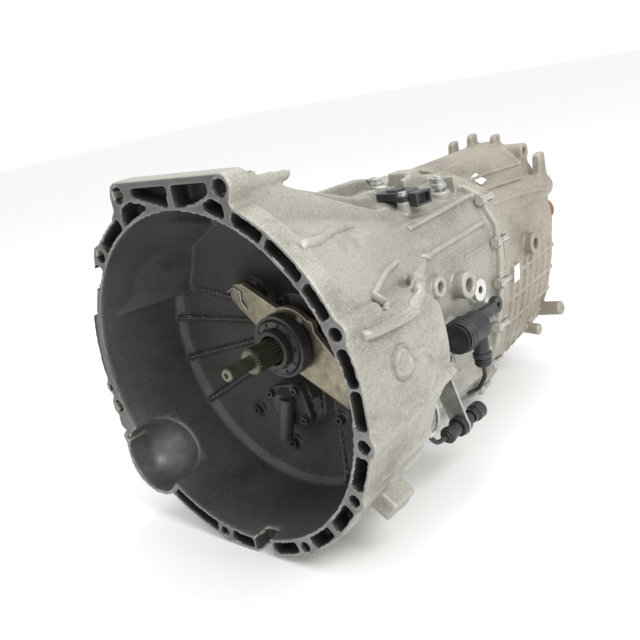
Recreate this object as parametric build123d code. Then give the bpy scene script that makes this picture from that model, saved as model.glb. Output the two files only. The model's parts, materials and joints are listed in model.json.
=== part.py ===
from build123d import *
import os
from math import acos, asin, atan2, cos, degrees, hypot, pi, radians, sin, sqrt, tan

# Longitudinal six-speed manual transmission, in millimetres.
# Origin: centre of the engine flange's mounting face, on the input shaft's axis.
# +Y runs rearwards along the shafts, +Z is up, +X is the right side seen from the engine.

# ---- driving dimensions -------------------------------------------------------------------------
BELL_MOUTH_R = 175.0        # inside of the bell at its mounting face
FLANGE_R = 195.0            # outside of the engine flange
BOLT_CIRCLE_R = 187.0       # centre line of the flange's bolt holes
FLANGE_DEPTH = 26.0         # depth of the flange's bolt holes
POCKET_DEPTH = 22.0         # depth of the lightening pockets between the flange's two walls
BELL_REAR_Y = 122.0         # where the bell's outer wall turns inwards
BELL_REAR_R = 186.0
FRONT_WALL_Y = 150.0        # front face of the wall that carries the shafts' front bearings
FRONT_WALL_T = 17.0
CASE_JOINT_Y = 380.0        # joint between the front and the rear case
REAR_WALL_Y = 553.0         # front face of the rear case's end wall
REAR_WALL_T = 14.0
CASE_WALL = 7.0
CENTRE_DISTANCE = 82.5      # main shafts to countershaft
GEAR_MODULE = 2.5
COUNTER_X = -20.0
COUNTER_Z = -sqrt(CENTRE_DISTANCE**2 - COUNTER_X**2)
SLEEVE_TRAVEL = 9.0
RUNNING_FIT = 0.05          # radial clearance of a shaft in its hole
BODY_GAP = 0.3              # clearance between bodies that move past each other

# Outline of the gear case in X and Z, right side seen from the engine, from the top round to the bottom.
CASE_OUTLINE = [
    (-62, 115), (50, 117), (100, 94), (118, 60), (119, 20), (110, -40), (98, -92), (80, -138), (56, -166),
    (24, -180), (-26, -180), (-58, -166), (-82, -138), (-100, -92), (-112, -40), (-119, 20), (-117, 60), (-98, 94),
]

# Teeth: countershaft gear and main gear of each pair; each pair adds up to the same centre distance.
PAIRS = {"input": (40, 26), "6": (44, 22), "4": (36, 30), "3": (31, 35), "2": (25, 41), "1": (18, 48)}
REVERSE_COUNTER_TEETH = 17
REVERSE_IDLER_TEETH = 20
REVERSE_MAIN_TEETH = 44

# Where each main gear starts along Y, and how wide it is.
GEAR_SPAN = {
    "input": (172.0, 22.0), "6": (231.0, 20.0), "4": (255.0, 22.0), "3": (314.0, 22.0),
    "2": (340.0, 24.0), "1": (401.0, 28.0), "r": (433.0, 24.0),
}
DOG_R = 29.4                # splines of the hubs
DOG_TIP_R = 27.2            # dog teeth pass inside the sleeves' splines at every angle
DOG_WIDTH = 3.5
RING_WIDTH = 4.0
HUB_WIDTH = 20.0
SLEEVE_WIDTH = 16.0
SLEEVE_R = 42.0
SLEEVE_GROOVE_R = 36.0
SLEEVE_GROOVE_WIDTH = 8.0
# First face of each synchro set: the dog teeth of the gear in front of it end here.
SYNCHRO_Y = {"56": 197.5, "34": 280.5, "12": 367.5, "r": 460.5}
MAIN_SHAFT_R = 20.0
COUNTER_SHAFT_R = 17.0

RAIL_X = 38.0               # fork rails, left and right of the selector rod
RAIL_Z = 78.0
RAIL_R = 6.0
SELECTOR_Z = 92.0
SELECTOR_R = 7.0
FINGER_Y = 262.0            # station where the selector finger meets the forks' gate bars

os.makedirs("parts", exist_ok=True)


# ---- helpers --------------------------------------------------------------------------------------
def save(shape, node):
    """Write one sub-part under its node's name."""
    shape.label = node
    export_step(shape, f"parts/{node}.step")


def group(solids):
    """Several separate solids that share one node."""
    return Compound(children=list(solids))


def prism(sketch, y_start, y_end):
    """A sketch drawn in X and Z, extruded from y_start to y_end."""
    return extrude(Pos(0, y_end, 0) * (Plane.XZ * sketch), y_end - y_start)


def tapered(sketch, y_start, y_end, angle):
    """A sketch at y_end, extruded forward to y_start while it grows by angle degrees."""
    return extrude(Pos(0, y_end, 0) * (Plane.XZ * sketch), y_end - y_start, taper=-angle)


def rod(radius, y_start, y_end, x=0.0, z=0.0):
    """A round bar along Y."""
    return Pos(x, (y_start + y_end) / 2, z) * Rot(90, 0, 0) * Cylinder(radius, y_end - y_start)


def tube(outer, inner, y_start, y_end, x=0.0, z=0.0):
    return rod(outer, y_start, y_end, x, z) - rod(inner, y_start - 1, y_end + 1, x, z)


def cone(r_start, r_end, y_start, y_end, x=0.0, z=0.0):
    """A truncated cone along Y."""
    return Pos(x, (y_start + y_end) / 2, z) * Rot(-90, 0, 0) * Cone(r_start, r_end, y_end - y_start)


def bar(radius, start, end):
    """A round bar between two points."""
    a = Vector(*start)
    b = Vector(*end)
    return Solid.make_cylinder(radius, (b - a).length, Plane(origin=a, z_dir=(b - a)))


def block(x0, x1, y0, y1, z0, z1):
    return Pos((x0 + x1) / 2, (y0 + y1) / 2, (z0 + z1) / 2) * Box(x1 - x0, y1 - y0, z1 - z0)


def turned(profile, x=0.0, z=0.0):
    """A body of revolution about the Y axis from (radius, y) points."""
    half = make_face(Polyline(*[(r, y, 0) for r, y in profile], close=True))
    return Pos(x, 0, z) * revolve(half, Axis.Y, 360)


def polar(radius, angle):
    """A point in X and Z at an angle from +X towards +Z, in degrees."""
    return (radius * cos(radians(angle)), radius * sin(radians(angle)))


def wedge(r_in, r_out, a0, a1):
    """A sector of a ring between two angles, as a sketch in X and Z."""
    middle = (a0 + a1) / 2
    sides = Line(polar(r_in, a0), polar(r_out, a0)) + Line(polar(r_out, a1), polar(r_in, a1))
    arcs = ThreePointArc(polar(r_out, a0), polar(r_out, middle), polar(r_out, a1))
    arcs += ThreePointArc(polar(r_in, a1), polar(r_in, middle), polar(r_in, a0))
    return make_face(sides + arcs)


def disc(radius, x=0.0, z=0.0):
    return Pos(x, z) * Circle(radius)


def outline(points):
    return make_face(Polyline(*points, close=True))


def inset(points, distance):
    """The same outline, moved inwards by a wall's thickness."""
    return offset(outline(points), -distance, kind=Kind.INTERSECTION)


def bolt(head_r, head_h, shank_r, length, socket_r):
    """A flanged socket bolt along -Z, with the underside of its head at the origin."""
    head = Pos(0, 0, head_h / 2) * Cylinder(head_r, head_h)
    washer = Pos(0, 0, 1) * Cylinder(head_r * 1.22, 2)
    shank = Pos(0, 0, -length / 2) * Cylinder(shank_r, length)
    socket = Pos(0, 0, head_h) * extrude(RegularPolygon(socket_r, 6), -head_h * 0.55)
    return head + washer + shank - socket


def hex_bolt(head_r, head_h, shank_r, length):
    """A flanged hexagon bolt along -Z, with the underside of its head at the origin."""
    head = extrude(RegularPolygon(head_r, 6), head_h)
    washer = Pos(0, 0, 1) * Cylinder(head_r * 1.15, 2)
    shank = Pos(0, 0, -length / 2) * Cylinder(shank_r, length)
    return head + washer + shank


def facing(direction, point):
    """The place of a part drawn along +Z, turned so that +Z points along direction."""
    return Plane(origin=point, z_dir=direction).location


# ---- gears ----------------------------------------------------------------------------------------
def involute_angle(radius, base_r):
    """How far an involute has turned where it reaches a radius."""
    if radius <= base_r:
        return 0.0
    pressure = acos(base_r / radius)
    return tan(pressure) - pressure


def gear_outline(teeth, backlash=0.5, phase=0.0):
    """A spur gear with involute flanks in three straight steps each."""
    pitch_r = GEAR_MODULE * teeth / 2
    tip_r = pitch_r + 0.92 * GEAR_MODULE
    root_r = pitch_r - 1.2 * GEAR_MODULE
    base_r = pitch_r * cos(radians(20))
    half_tooth = (pi * GEAR_MODULE / 2 - backlash) / (2 * pitch_r)
    at_pitch = involute_angle(pitch_r, base_r)
    stations = [root_r, max(base_r, pitch_r - 0.55 * GEAR_MODULE), pitch_r, tip_r]
    flank = [(r, half_tooth + at_pitch - involute_angle(r, base_r)) for r in stations]
    points = []
    for tooth in range(teeth):
        centre = 2 * pi * tooth / teeth + phase
        for r, half in flank:
            points.append((r * cos(centre - half), r * sin(centre - half)))
        for r, half in reversed(flank):
            points.append((r * cos(centre + half), r * sin(centre + half)))
    return outline(points)


def spline_outline(teeth, root_r, tip_r, share=0.5):
    """A shaft spline with straight-sided teeth that fill a share of each pitch."""
    points = []
    for tooth in range(teeth):
        centre = 2 * pi * tooth / teeth
        half = pi / teeth * share
        points.append((root_r * cos(centre - half), root_r * sin(centre - half)))
        points.append((tip_r * cos(centre - half * 0.8), tip_r * sin(centre - half * 0.8)))
        points.append((tip_r * cos(centre + half * 0.8), tip_r * sin(centre + half * 0.8)))
        points.append((root_r * cos(centre + half), root_r * sin(centre + half)))
    return outline(points)


def mesh_phase(driver_teeth, driver_phase, follower_teeth, direction):
    """Phase that puts a follower's gap on the driver's tooth along the line of centres, in radians."""
    driver_offset = (direction - driver_phase) * driver_teeth / (2 * pi)
    driver_fraction = driver_offset - round(driver_offset)
    back = direction + pi
    return back - (0.5 - driver_fraction) * 2 * pi / follower_teeth


COUNTER_DIRECTION = atan2(COUNTER_Z, COUNTER_X)


def counter_phase(main_teeth, counter_teeth):
    """Countershaft gear's phase when the main gear's own phase is zero."""
    return mesh_phase(main_teeth, 0.0, counter_teeth, COUNTER_DIRECTION)


def idler_centre():
    """The reverse idler meshes with the countershaft and with the main reverse gear."""
    to_main = GEAR_MODULE * (REVERSE_IDLER_TEETH + REVERSE_MAIN_TEETH) / 2
    to_counter = GEAR_MODULE * (REVERSE_IDLER_TEETH + REVERSE_COUNTER_TEETH) / 2
    along = (to_main**2 - to_counter**2 + CENTRE_DISTANCE**2) / (2 * CENTRE_DISTANCE)
    across = sqrt(to_main**2 - along**2)
    ux = COUNTER_X / CENTRE_DISTANCE
    uz = COUNTER_Z / CENTRE_DISTANCE
    return (ux * along - uz * across, uz * along + ux * across)


IDLER_X, IDLER_Z = idler_centre()


# ---- front case: bell and gear case in one casting -----------------------------------------------
FLANGE_HOLES = [             # radius of the circle, angle, hole radius, boss radius, boss length
    (BOLT_CIRCLE_R, 20.4, 6.2, 13.0, 58.0),
    (BOLT_CIRCLE_R, -11.9, 6.2, 13.0, 52.0),
    (BOLT_CIRCLE_R, -31.4, 5.5, 12.0, 46.0),
    (BOLT_CIRCLE_R, -63.9, 5.5, 11.0, 40.0),
    (BOLT_CIRCLE_R, -102.6, 5.5, 11.0, 40.0),
    (BOLT_CIRCLE_R, -164.5, 6.8, 12.5, 44.0),
    (BOLT_CIRCLE_R, 135.6, 6.7, 12.5, 46.0),
]
SMALL_FLANGE_HOLES = [(188.0, -171.9, 3.5, 8.5), (203.0, -153.3, 3.5, 8.0)]
TOP_HOLE_X = 75.0
TOP_HOLE_Z = 194.0
TOP_HOLE_R = 8.0
FLANGE_TOP_Z = 207.0
RING_POCKETS = [
    (64, 53), (51, 37.5), (35, 25), (16, 5.5), (4, -7), (-16, -27), (-35.5, -46), (-49, -59.5), (-68, -79),
    (-89, -98.5), (-106, -127), (131.5, 117), (149, 140),
]
NOTCH_ANGLES = (-87.5, -80.5)
STARTER_X = -144.0
STARTER_Z = -114.0
STARTER_R = 40.0
STARTER_POCKET_Y = 18.0
STARTER_WALL = 5.0


def flange_outline():
    """Engine flange: ring, flat-topped hood with two corner bosses, left shoulder and starter bulge."""
    ring = disc(184) + wedge(150, FLANGE_R, -129, 67)
    hood = outline([
        (-97, 120), (-97, 169), (-88.5, 181), (-89, 194), (89, 194), (83, 178), (89, 169), (89, 120),
    ])
    top = outline([(-76, 150), (-76, FLANGE_TOP_Z), (76, FLANGE_TOP_Z), (76, 150)])
    shoulder = outline([(-84, 100), (-84, 166), (-97, 169), (-117, 156), (-134, 143), (-143, 139), (-149, 126), (-152, 116),
                        (-110, 80)])
    corners = disc(13.4, TOP_HOLE_X, TOP_HOLE_Z) + disc(13.4, -TOP_HOLE_X, TOP_HOLE_Z)
    bosses = disc(12.5, *polar(BOLT_CIRCLE_R, 135.6)) + disc(13, *polar(BOLT_CIRCLE_R, -164.5))
    for circle_r, angle, _, boss_r in SMALL_FLANGE_HOLES:
        bosses += disc(boss_r, *polar(circle_r, angle))
    bosses += disc(12, *polar(190, -158.5)) + disc(9, *polar(205, -149))
    starter = disc(STARTER_R + STARTER_WALL, STARTER_X, STARTER_Z)
    return ring + hood + top + shoulder + corners + bosses + starter


def top_pockets():
    """Polygonal pockets between the hood's ribs."""
    left = outline([(-57, 199), (2, 199.5), (-2, 179.5), (-52, 192)])
    right = outline([(9, 199.5), (57, 199), (59, 190), (40, 183), (24, 180), (9, 179.5)])
    far_left = outline([(-75, 180), (-60, 186), (-30, 181), (-58, 170.5), (-78, 162)])
    far_right = outline([(44, 178), (60, 185), (73, 178), (71.5, 166), (57, 171)])
    return left + right + far_left + far_right


def lower_bell():
    """Bell wall behind the flange's lower part, nearly cylindrical, with its rounded rear shoulder."""
    wall = turned([(0, 2), (193.5, 2), (193, 30), (BELL_REAR_R, BELL_REAR_Y), (168, BELL_REAR_Y + 9),
                   (110, BELL_REAR_Y + 34), (0, BELL_REAR_Y + 34)])
    return wall & block(-230, 230, 0, 200, -230, 62)


def bell_skirt():
    """Flat-sided skirt that flares forward from the gear case into the bell."""
    skirt = tapered(outline(CASE_OUTLINE), 8, 236, 14.5)
    limit = turned([(0, 2), (193, 2), (192, 30), (187, 80), (178, 180), (172, 240), (0, 240)])
    return skirt & limit


def slave_pocket(wall):
    """Recess behind the bell's lower right for the slave cylinder; wall is added all round."""
    return block(52 - wall, 150, 160 - wall, 222 + wall, -96 - wall, -28 + wall)


def side_lobe():
    """Rounded bulge on the right of the bell, over the clutch's slave cylinder."""
    body = turned([(120, 60), (190.0, 60), (187.5, 112), (184, 150), (176, 159), (120, 159)])
    window = Pos(170, 100, 6) * Rot(0, 90, 0) * Cylinder(62, 160)
    return body & window & block(100, 230, 60, 159, -70, 62)


def hood():
    """Top of the bell: a sloping deck with four ribs that run back to the gear case."""
    deck_profile = [(3, 202), (30, 202), (60, 178), (210, 112), (210, 90), (3, 150)]
    deck = extrude(Plane.YZ.offset(-83) * outline(deck_profile), 166)
    lip = block(-74, 74, 3, FLANGE_DEPTH + 3, 150, FLANGE_TOP_Z - 1)
    ribs = []
    for x, top_rear, width in [(56, 136, 7), (-56, 136, 7), (78, 122, 6), (-78, 122, 6)]:
        profile = [(5, 204), (28, 200), (120, (204 + top_rear) / 2 - 5), (204, top_rear), (226, top_rear - 2),
                   (240, 100), (5, 120)]
        ribs.append(extrude(Plane.YZ.offset(x - width / 2) * outline(profile), width))
    shell = deck + lip
    for rib in ribs:
        shell += rib
    for side in (-1, 1):
        shell += cone(12.6, 9, 5, 84, side * TOP_HOLE_X, TOP_HOLE_Z - 3)
    return shell


def gear_case_outside():
    """Walls of the gear case behind the bell, with the top deck, its ribs and the joint flange."""
    body = prism(outline(CASE_OUTLINE), 234, CASE_JOINT_Y)
    joint = prism(offset(outline(CASE_OUTLINE), 9, kind=Kind.INTERSECTION), CASE_JOINT_Y - 12, CASE_JOINT_Y)
    deck_edge = extrude(Plane.YZ.offset(92) * outline([(200, 70), (200, 101), (380, 99), (380, 70)]), 9)
    body += deck_edge + joint
    for x in (-44, 44):
        rib = [(200, 100), (200, 136), (330, 134), (372, 126), (372, 100)]
        body += extrude(Plane.YZ.offset(x - 4) * outline(rib), 8)
    lug = block(14, 46, 322, 346, 110, 139)
    cross_rib = block(-60, 84, 357, 364, 100, 124)
    sensor_gap = block(36, 104, 252, 308, 117.5, 140)
    return body + lug + cross_rib - sensor_gap


SIDE_BOSSES = [              # y, z, outer radius, hole radius, x of the open end
    (280.0, 15.0, 16.0, 8.0, 136.0),
    (232.0, 28.0, 12.0, 6.0, 130.0),
]


def case_details():
    """Cast bosses, ribs and lugs on the outside of the front case."""
    shape = None
    for y, z, outer, _, x_end in SIDE_BOSSES:
        boss = bar(outer, (100, y, z), (x_end, y, z))
        shape = boss if shape is None else shape + boss
    for circle_r, angle, _, boss_r, length in FLANGE_HOLES:
        x, z = polar(circle_r, angle)
        shape += cone(boss_r, boss_r * 0.72, 0, length, x, z)
    # Raised rib from the flange boss back over the lobe and up to the gear case.
    rib_points = [(181, 20, 58), (178, 97, 54), (149, 162, 60), (126, 206, 61), (110, 236, 62)]
    for start, end in zip(rib_points, rib_points[1:]):
        shape += bar(5.5, start, end)
    for point in rib_points[1:4]:
        shape += Pos(*point) * Sphere(5.5)
    shape += Pos(*rib_points[2]) * Sphere(9)
    # Low blade rib across the lobe, and two ribs below it.
    for z_front, z_rear in [(-52, -28), (-88, -84), (-112, -110)]:
        y_end = 150 if z_rear > -60 else 118
        x_front = sqrt(191**2 - z_front**2)
        x_rear = sqrt(187**2 - z_rear**2)
        shape += bar(4.5, (x_front, 24, z_front), (x_rear, y_end, z_rear))
    # Plain round medallion on the lobe.
    face = facing((cos(radians(-6)), 0.05, sin(radians(-6))), (182.5, 92, -8))
    shape += face * (Pos(0, 0, 3) * Cylinder(26, 9) - Pos(0, 0, 7) * (Cylinder(23.5, 2.4) - Cylinder(15.5, 2.6)))
    # Lifting lug low on the right, and a foot rib on the left.
    lug = Location((0, 0, 0), (0, 37, 0)) * block(176, 214, 34, 68, -12, 12)
    shape += lug
    # Drain-side ribs along the lower flank of the gear case.
    for z in (-60, -100, -134):
        x = 104 if z > -80 else (94 if z > -120 else 80)
        shape += block(x - 14, x + 5, 240, 372, z - 3, z + 3)
        shape += block(-x - 5, -x + 14, 240, 372, z - 3, z + 3)
    for y in (262, 300, 338):
        shape += block(-119, -106, y - 3, y + 3, -60, 60)
    # Seats of the switch, its arm and the line's bracket on the right flank.
    shape += bar(14, (100, SWITCH_Y, SWITCH_Z), (115.5, SWITCH_Y, SWITCH_Z))
    shape += bar(11, (100, SWITCH_EYE_Y, SWITCH_Z), (117.5, SWITCH_EYE_Y, SWITCH_Z))
    shape += bar(9, (95, BRACKET_BOLT_Y, BRACKET_BOLT_Z), (120.5, BRACKET_BOLT_Y, BRACKET_BOLT_Z))
    shape += bar(16, (100, 318, -4), (119.5, 318, -4))
    # Sensor posts and pads on the top deck.
    for x, y in SENSOR_POSTS:
        shape += Pos(x, y, 109) * Cylinder(8, 18)
    shape += Pos(78, 333, 104) * Cylinder(12, 18)
    shape += Pos(20, 300, 114) * Cylinder(13, 14)
    shape += Pos(-20, 346, 116) * Cylinder(10, 14)
    return shape


SENSOR_POSTS = [(40.0, 292.0), (76.0, 262.0)]
SENSOR_POST_TOP = 118.0


def bell_cavity():
    """Inside of the bell, with its sloping back wall."""
    full = turned([(0, -1), (BELL_MOUTH_R, -1), (BELL_MOUTH_R, 4), (170, 103), (160, 111), (96, 138),
                   (62, FRONT_WALL_Y), (0, FRONT_WALL_Y)])
    deck_profile = [(-2, 200), (27, 193), (58, 169.5), (208, 103.5), (208, 40), (-2, 40)]
    room = block(-230, 230, -2, 160, -230, 54)
    room += tapered(inset(CASE_OUTLINE, 8.5), 8, 236, 14.5)
    room += extrude(Plane.YZ.offset(-75) * outline(deck_profile), 150)
    room += block(-200, 200, -2, FLANGE_DEPTH - 4, -200, 200)
    return full & room


def case_cavity():
    """Inside of the gear case, flaring forward behind the bell."""
    inner = inset(CASE_OUTLINE, CASE_WALL)
    flare = tapered(inner, BELL_REAR_Y + 4, 236, 10)
    front = FRONT_WALL_Y + FRONT_WALL_T
    limit = turned([(0, front), (75, front), (96, front - 15), (150, BELL_REAR_Y + 4), (150, 240), (0, 240)])
    return prism(inner, 235, CASE_JOINT_Y + 1) + (flare & limit)


def bell_back_ribs():
    """Ribs on the back wall inside the bell, running out from the bearing carrier."""
    ribs = None
    for angle, reach in ((156, 140), (172, 166), (190, 166), (210, 166), (290, 166), (308, 166), (62, 140), (36, 140), (100, 140)):
        rib = block(70, reach, 98, 152, -2.2, 2.2)
        rib = Rot(0, -angle, 0) * rib
        ribs = rib if ribs is None else ribs + rib
    limit = turned([(66, 144), (96, 132), (150, 108), (165, 99), (171, 103), (162, 113), (96, 140), (66, 152)])
    return ribs & limit


def front_wall_bosses():
    """Bearing carriers on both sides of the front wall."""
    input_carrier = rod(50, FRONT_WALL_Y - 7, FRONT_WALL_Y + FRONT_WALL_T + 1)
    counter_carrier = rod(33, FRONT_WALL_Y, FRONT_WALL_Y + FRONT_WALL_T + 1, COUNTER_X, COUNTER_Z)
    counter_carrier += prism(cover_plate(), COVER_SEAT_Y, FRONT_WALL_Y)
    for x, z, seat in wall_bolt_seats():
        counter_carrier += rod(8, seat, FRONT_WALL_Y, x, z)
    pivot = cone(13, 16, 134, 152, *PIVOT)
    slave = rod(22, 134, SLAVE_SEAT_Y, *SLAVE)
    for x, z in slave_bolt_points():
        slave += rod(9, FRONT_WALL_Y - 2, SLAVE_SEAT_Y, x, z)
    rails = None
    for side in (-1, 1):
        end = rod(11, FRONT_WALL_Y + 8, FRONT_WALL_Y + FRONT_WALL_T + 10, side * RAIL_X, RAIL_Z)
        rails = end if rails is None else rails + end
    return input_carrier + counter_carrier + pivot + slave + rails


PIVOT = (-66.0, 50.0)        # ball stud of the release fork
SLAVE = (78.0, -62.0)        # axis of the clutch's slave cylinder
INPUT_BEARING_R = 36.0
COUNTER_BEARING_R = 26.0
BEARING_WIDTH = 17.0


COVER_SEAT_Y = 124.0         # joint between the countershaft's cover and the front wall
SLAVE_SEAT_Y = 160.0         # joint under the slave cylinder's flange


def slave_bolt_points():
    return [(SLAVE[0], SLAVE[1] - 23), (SLAVE[0], SLAVE[1] + 23)]



def wall_bolt_seats():
    """Plug screws on the bell's back wall: X, Z and the Y of each screw's seat, 4 mm proud of the wall."""
    seats = []
    for x, z in ((-80, -96), (40, -96), (-28, -130), (34, -58), (66, -98)):
        radius = hypot(x, z)
        slope = 12 / 34 if radius < 96 else 27 / 64
        wall_y = 150 - (radius - 62) * slope if radius < 96 else 138 - (radius - 96) * slope
        seats.append((x, z, wall_y - 4))
    return seats


def cover_plate():
    """Outline of the countershaft cover's joint."""
    return Pos(COUNTER_X, COUNTER_Z) * Rot(0, 0, 12) * RectangleRounded(54, 50, 9)


def front_case():
    shape = bell_skirt() + hood() + gear_case_outside()
    shape += lower_bell()
    shape += prism(flange_outline(), 0, FLANGE_DEPTH)
    shape += side_lobe()
    shape += case_details()
    shape -= slave_pocket(0)
    starter_outside = rod(STARTER_R + STARTER_WALL, 0, STARTER_POCKET_Y, STARTER_X, STARTER_Z)
    starter_outside += Pos(STARTER_X, STARTER_POCKET_Y, STARTER_Z) * Sphere(STARTER_R + STARTER_WALL)
    shape += starter_outside & block(-260, 0, 0, 90, -260, 0)
    shape -= bell_cavity()
    shape -= case_cavity() - slave_pocket(CASE_WALL)
    shape += front_wall_bosses()
    shape += bell_back_ribs()
    shape += pedestal()
    # Starter pocket, open to the front and into the bell.
    shape -= rod(STARTER_R, -1, STARTER_POCKET_Y, STARTER_X, STARTER_Z)
    shape -= Pos(STARTER_X, STARTER_POCKET_Y, STARTER_Z) * Sphere(STARTER_R)
    # Lightening pockets and bolt holes of the flange.
    for a0, a1 in RING_POCKETS:
        shape -= prism(wedge(179.5, 190.8, a0, a1), -1, POCKET_DEPTH)
    shape -= prism(top_pockets(), -1, POCKET_DEPTH)
    for circle_r, angle, hole_r, _, length in FLANGE_HOLES:
        shape -= rod(hole_r, -1, length + 1, *polar(circle_r, angle))
    for circle_r, angle, hole_r, _ in SMALL_FLANGE_HOLES:
        shape -= rod(hole_r, -1, FLANGE_DEPTH + 1, *polar(circle_r, angle))
    for side in (-1, 1):
        shape -= rod(TOP_HOLE_R, -1, 90, side * TOP_HOLE_X, TOP_HOLE_Z)
    shape -= prism(wedge(165, 215, *NOTCH_ANGLES), -1, 21)
    # Bearing bores and shaft openings of the front wall.
    shape -= rod(INPUT_BEARING_R, FRONT_WALL_Y, FRONT_WALL_Y + 40)
    shape -= rod(32, FRONT_WALL_Y - 10, FRONT_WALL_Y + 1)
    shape -= rod(COUNTER_BEARING_R, FRONT_WALL_Y - 1, FRONT_WALL_Y + 40, COUNTER_X, COUNTER_Z)
    shape -= rod(20, 120, FRONT_WALL_Y, COUNTER_X, COUNTER_Z)
    for x, z in cover_bolt_points():
        shape -= rod(3.0, 120, 142, x, z)
    for side in (-1, 1):
        shape -= rod(RAIL_R, FRONT_WALL_Y + FRONT_WALL_T, 200, side * RAIL_X, RAIL_Z)
    shape -= rod(4.0, 130, 148, *PIVOT)
    # Slave cylinder's seat: a through hole in the bell's back wall.
    shape -= rod(15, 100, 175, *SLAVE)
    for x, z in slave_bolt_points():
        shape -= rod(3.0, SLAVE_SEAT_Y - 12, SLAVE_SEAT_Y + 1, x, z)
    # Spot faces under the heads of the case joint's bolts.
    for x, z in case_bolt_points():
        shape -= rod(7.4, CASE_JOINT_Y - 30, CASE_JOINT_Y - 12, x, z)
    for x, z, seat in wall_bolt_seats():
        shape -= rod(7, seat - 12, seat, x, z)
        shape -= rod(3.0, seat - 2, seat + 10, x, z)
    for y, z, _, hole_r, x_end in SIDE_BOSSES:
        shape -= bar(hole_r, (x_end - 18, y, z), (x_end + 1, y, z))
    for x, y in SENSOR_POSTS:
        shape -= Pos(x, y, SENSOR_POST_TOP - 5) * Cylinder(2.5, 12)
    shape -= Pos(20, 300, 112) * Cylinder(5, 40)
    shape -= Pos(-20, 346, 116) * Cylinder(4, 16)
    shape -= Pos(78, 333, 106) * Cylinder(5, 16)
    for x, z in case_bolt_points():
        shape -= rod(4.2, CASE_JOINT_Y - 14, CASE_JOINT_Y + 1, x, z)
    shape -= FILL_PLUG.location * Pos(0, 0, -12) * Cylinder(9, 26)
    shape -= bar(PLUNGER_R + 0.5, (90, SWITCH_Y, SWITCH_Z), (116, SWITCH_Y, SWITCH_Z))
    shape -= bar(3.0, (103, SWITCH_EYE_Y, SWITCH_Z), (118, SWITCH_EYE_Y, SWITCH_Z))
    shape -= bar(3.0, (106, BRACKET_BOLT_Y, BRACKET_BOLT_Z), (121, BRACKET_BOLT_Y, BRACKET_BOLT_Z))
    return shape


def pedestal():
    """Front support of the selector rod, under the top wall."""
    shape = rod(14, 226, 238, 0, SELECTOR_Z) + block(-14, 14, 226, 238, SELECTOR_Z, 112)
    return shape - rod(SELECTOR_R + 3.0 + RUNNING_FIT, 220, 244, 0, SELECTOR_Z)


FILL_PLUG = Plane(origin=(119.5, 318, -4), z_dir=(1, 0, 0))
DRAIN_PLUG = Plane(origin=(0, 452, -172.0), z_dir=(0, 0, -1))


def case_bolt_points():
    """Bolts of the case joint, on the joint flange just outside the walls."""
    return [
        (-40, 121.5), (8, 122.5), (112, 92), (125.5, 40), (122.5, -12), (112, -70), (98, -122), (74, -160),
        (30, -184.5), (-30, -184.5), (-76, -160), (-100, -122), (-114, -70), (-124.5, -12), (-124.5, 40), (-110, 92),
    ]


# ---- rear case --------------------------------------------------------------------------------------
REAR_TAPER = 4.6
REAR_END_Y = REAR_WALL_Y + REAR_WALL_T
REAR_BOSS = (470.0, 9.0, 14.0, 7.0, 124.0)   # y, z, outer radius, hole radius, x of the open end


def rear_section(shrink):
    """The rear case's outline: the case outline without its square shoulders."""
    points = [
        (-70, 108), (-30, 122), (40, 122), (86, 98), (112, 72), (118, 20), (110, -40), (98, -92), (80, -136),
        (56, -160), (24, -170), (-26, -170), (-58, -160), (-82, -136), (-100, -92), (-112, -40), (-118, 20), (-106, 76),
    ]
    return outline([(x * shrink, z * shrink) for x, z in points])


def rear_body(extra, y_start, y_end):
    """Tapering walls between two stations; extra is added all round."""
    steps = [(y_start, 1.0), (y_end, 1.0 - tan(radians(REAR_TAPER)) * (y_end - y_start) / 118)]
    faces = []
    for y, scale in steps:
        sketch = rear_section(scale)
        if extra:
            sketch = offset(sketch, extra, kind=Kind.INTERSECTION)
        faces.append(Pos(0, y, 0) * (Plane.XZ * sketch))
    return loft(faces, ruled=True)


def rear_case():
    shape = rear_body(0, CASE_JOINT_Y, REAR_END_Y)
    shape += prism(offset(outline(CASE_OUTLINE), 9, kind=Kind.INTERSECTION), CASE_JOINT_Y, CASE_JOINT_Y + 12)
    # Raised barrel along the top and a smaller one beside it.
    barrel = rod(74, CASE_JOINT_Y, REAR_END_Y, 14, 58) + cone(76, 74, CASE_JOINT_Y, 470, 14, 56)
    shape += barrel & block(-80, 110, CASE_JOINT_Y, REAR_END_Y, 40, 140)
    shape += cone(23, 17, CASE_JOINT_Y, REAR_END_Y, 92, 66)
    shape -= rear_cavity()
    shape += rear_wall_bosses()
    shape += rear_ribs()
    shape += rear_lugs()
    y, z, outer, hole_r, x_end = REAR_BOSS
    shape += bar(outer, (104, y, z), (x_end, y, z))
    shape -= bar(hole_r, (x_end - 16, y, z), (x_end + 1, y, z))
    # Bores in the end wall.
    shape -= rod(INPUT_BEARING_R, 520, OUTPUT_BEARING_END)
    shape -= rod(31, OUTPUT_BEARING_END - 1, REAR_END_Y + 20)
    shape -= rod(COUNTER_BEARING_R, 520, COUNTER_BEARING_END, COUNTER_X, COUNTER_Z)
    for side in (-1, 1):
        shape -= rod(RAIL_R, 530, REAR_WALL_Y + 8, side * RAIL_X, RAIL_Z)
    shape -= rod(SELECTOR_R + RUNNING_FIT, 530, REAR_END_Y + 30, 0, SELECTOR_Z)
    shape -= rod(11, REAR_END_Y + 3, REAR_END_Y + 30, 0, SELECTOR_Z)
    shape -= rod(IDLER_SHAFT_R, 510, REAR_WALL_Y + 8, IDLER_X, IDLER_Z)
    for x, z in case_bolt_points():
        shape -= rod(4.2, CASE_JOINT_Y - 1, CASE_JOINT_Y + 13, x, z)
    shape -= DRAIN_PLUG.location * Pos(0, 0, -12) * Cylinder(9, 26)
    return shape


OUTPUT_BEARING_END = 556.0
COUNTER_BEARING_END = 556.0
IDLER_SHAFT_R = 9.0


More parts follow.
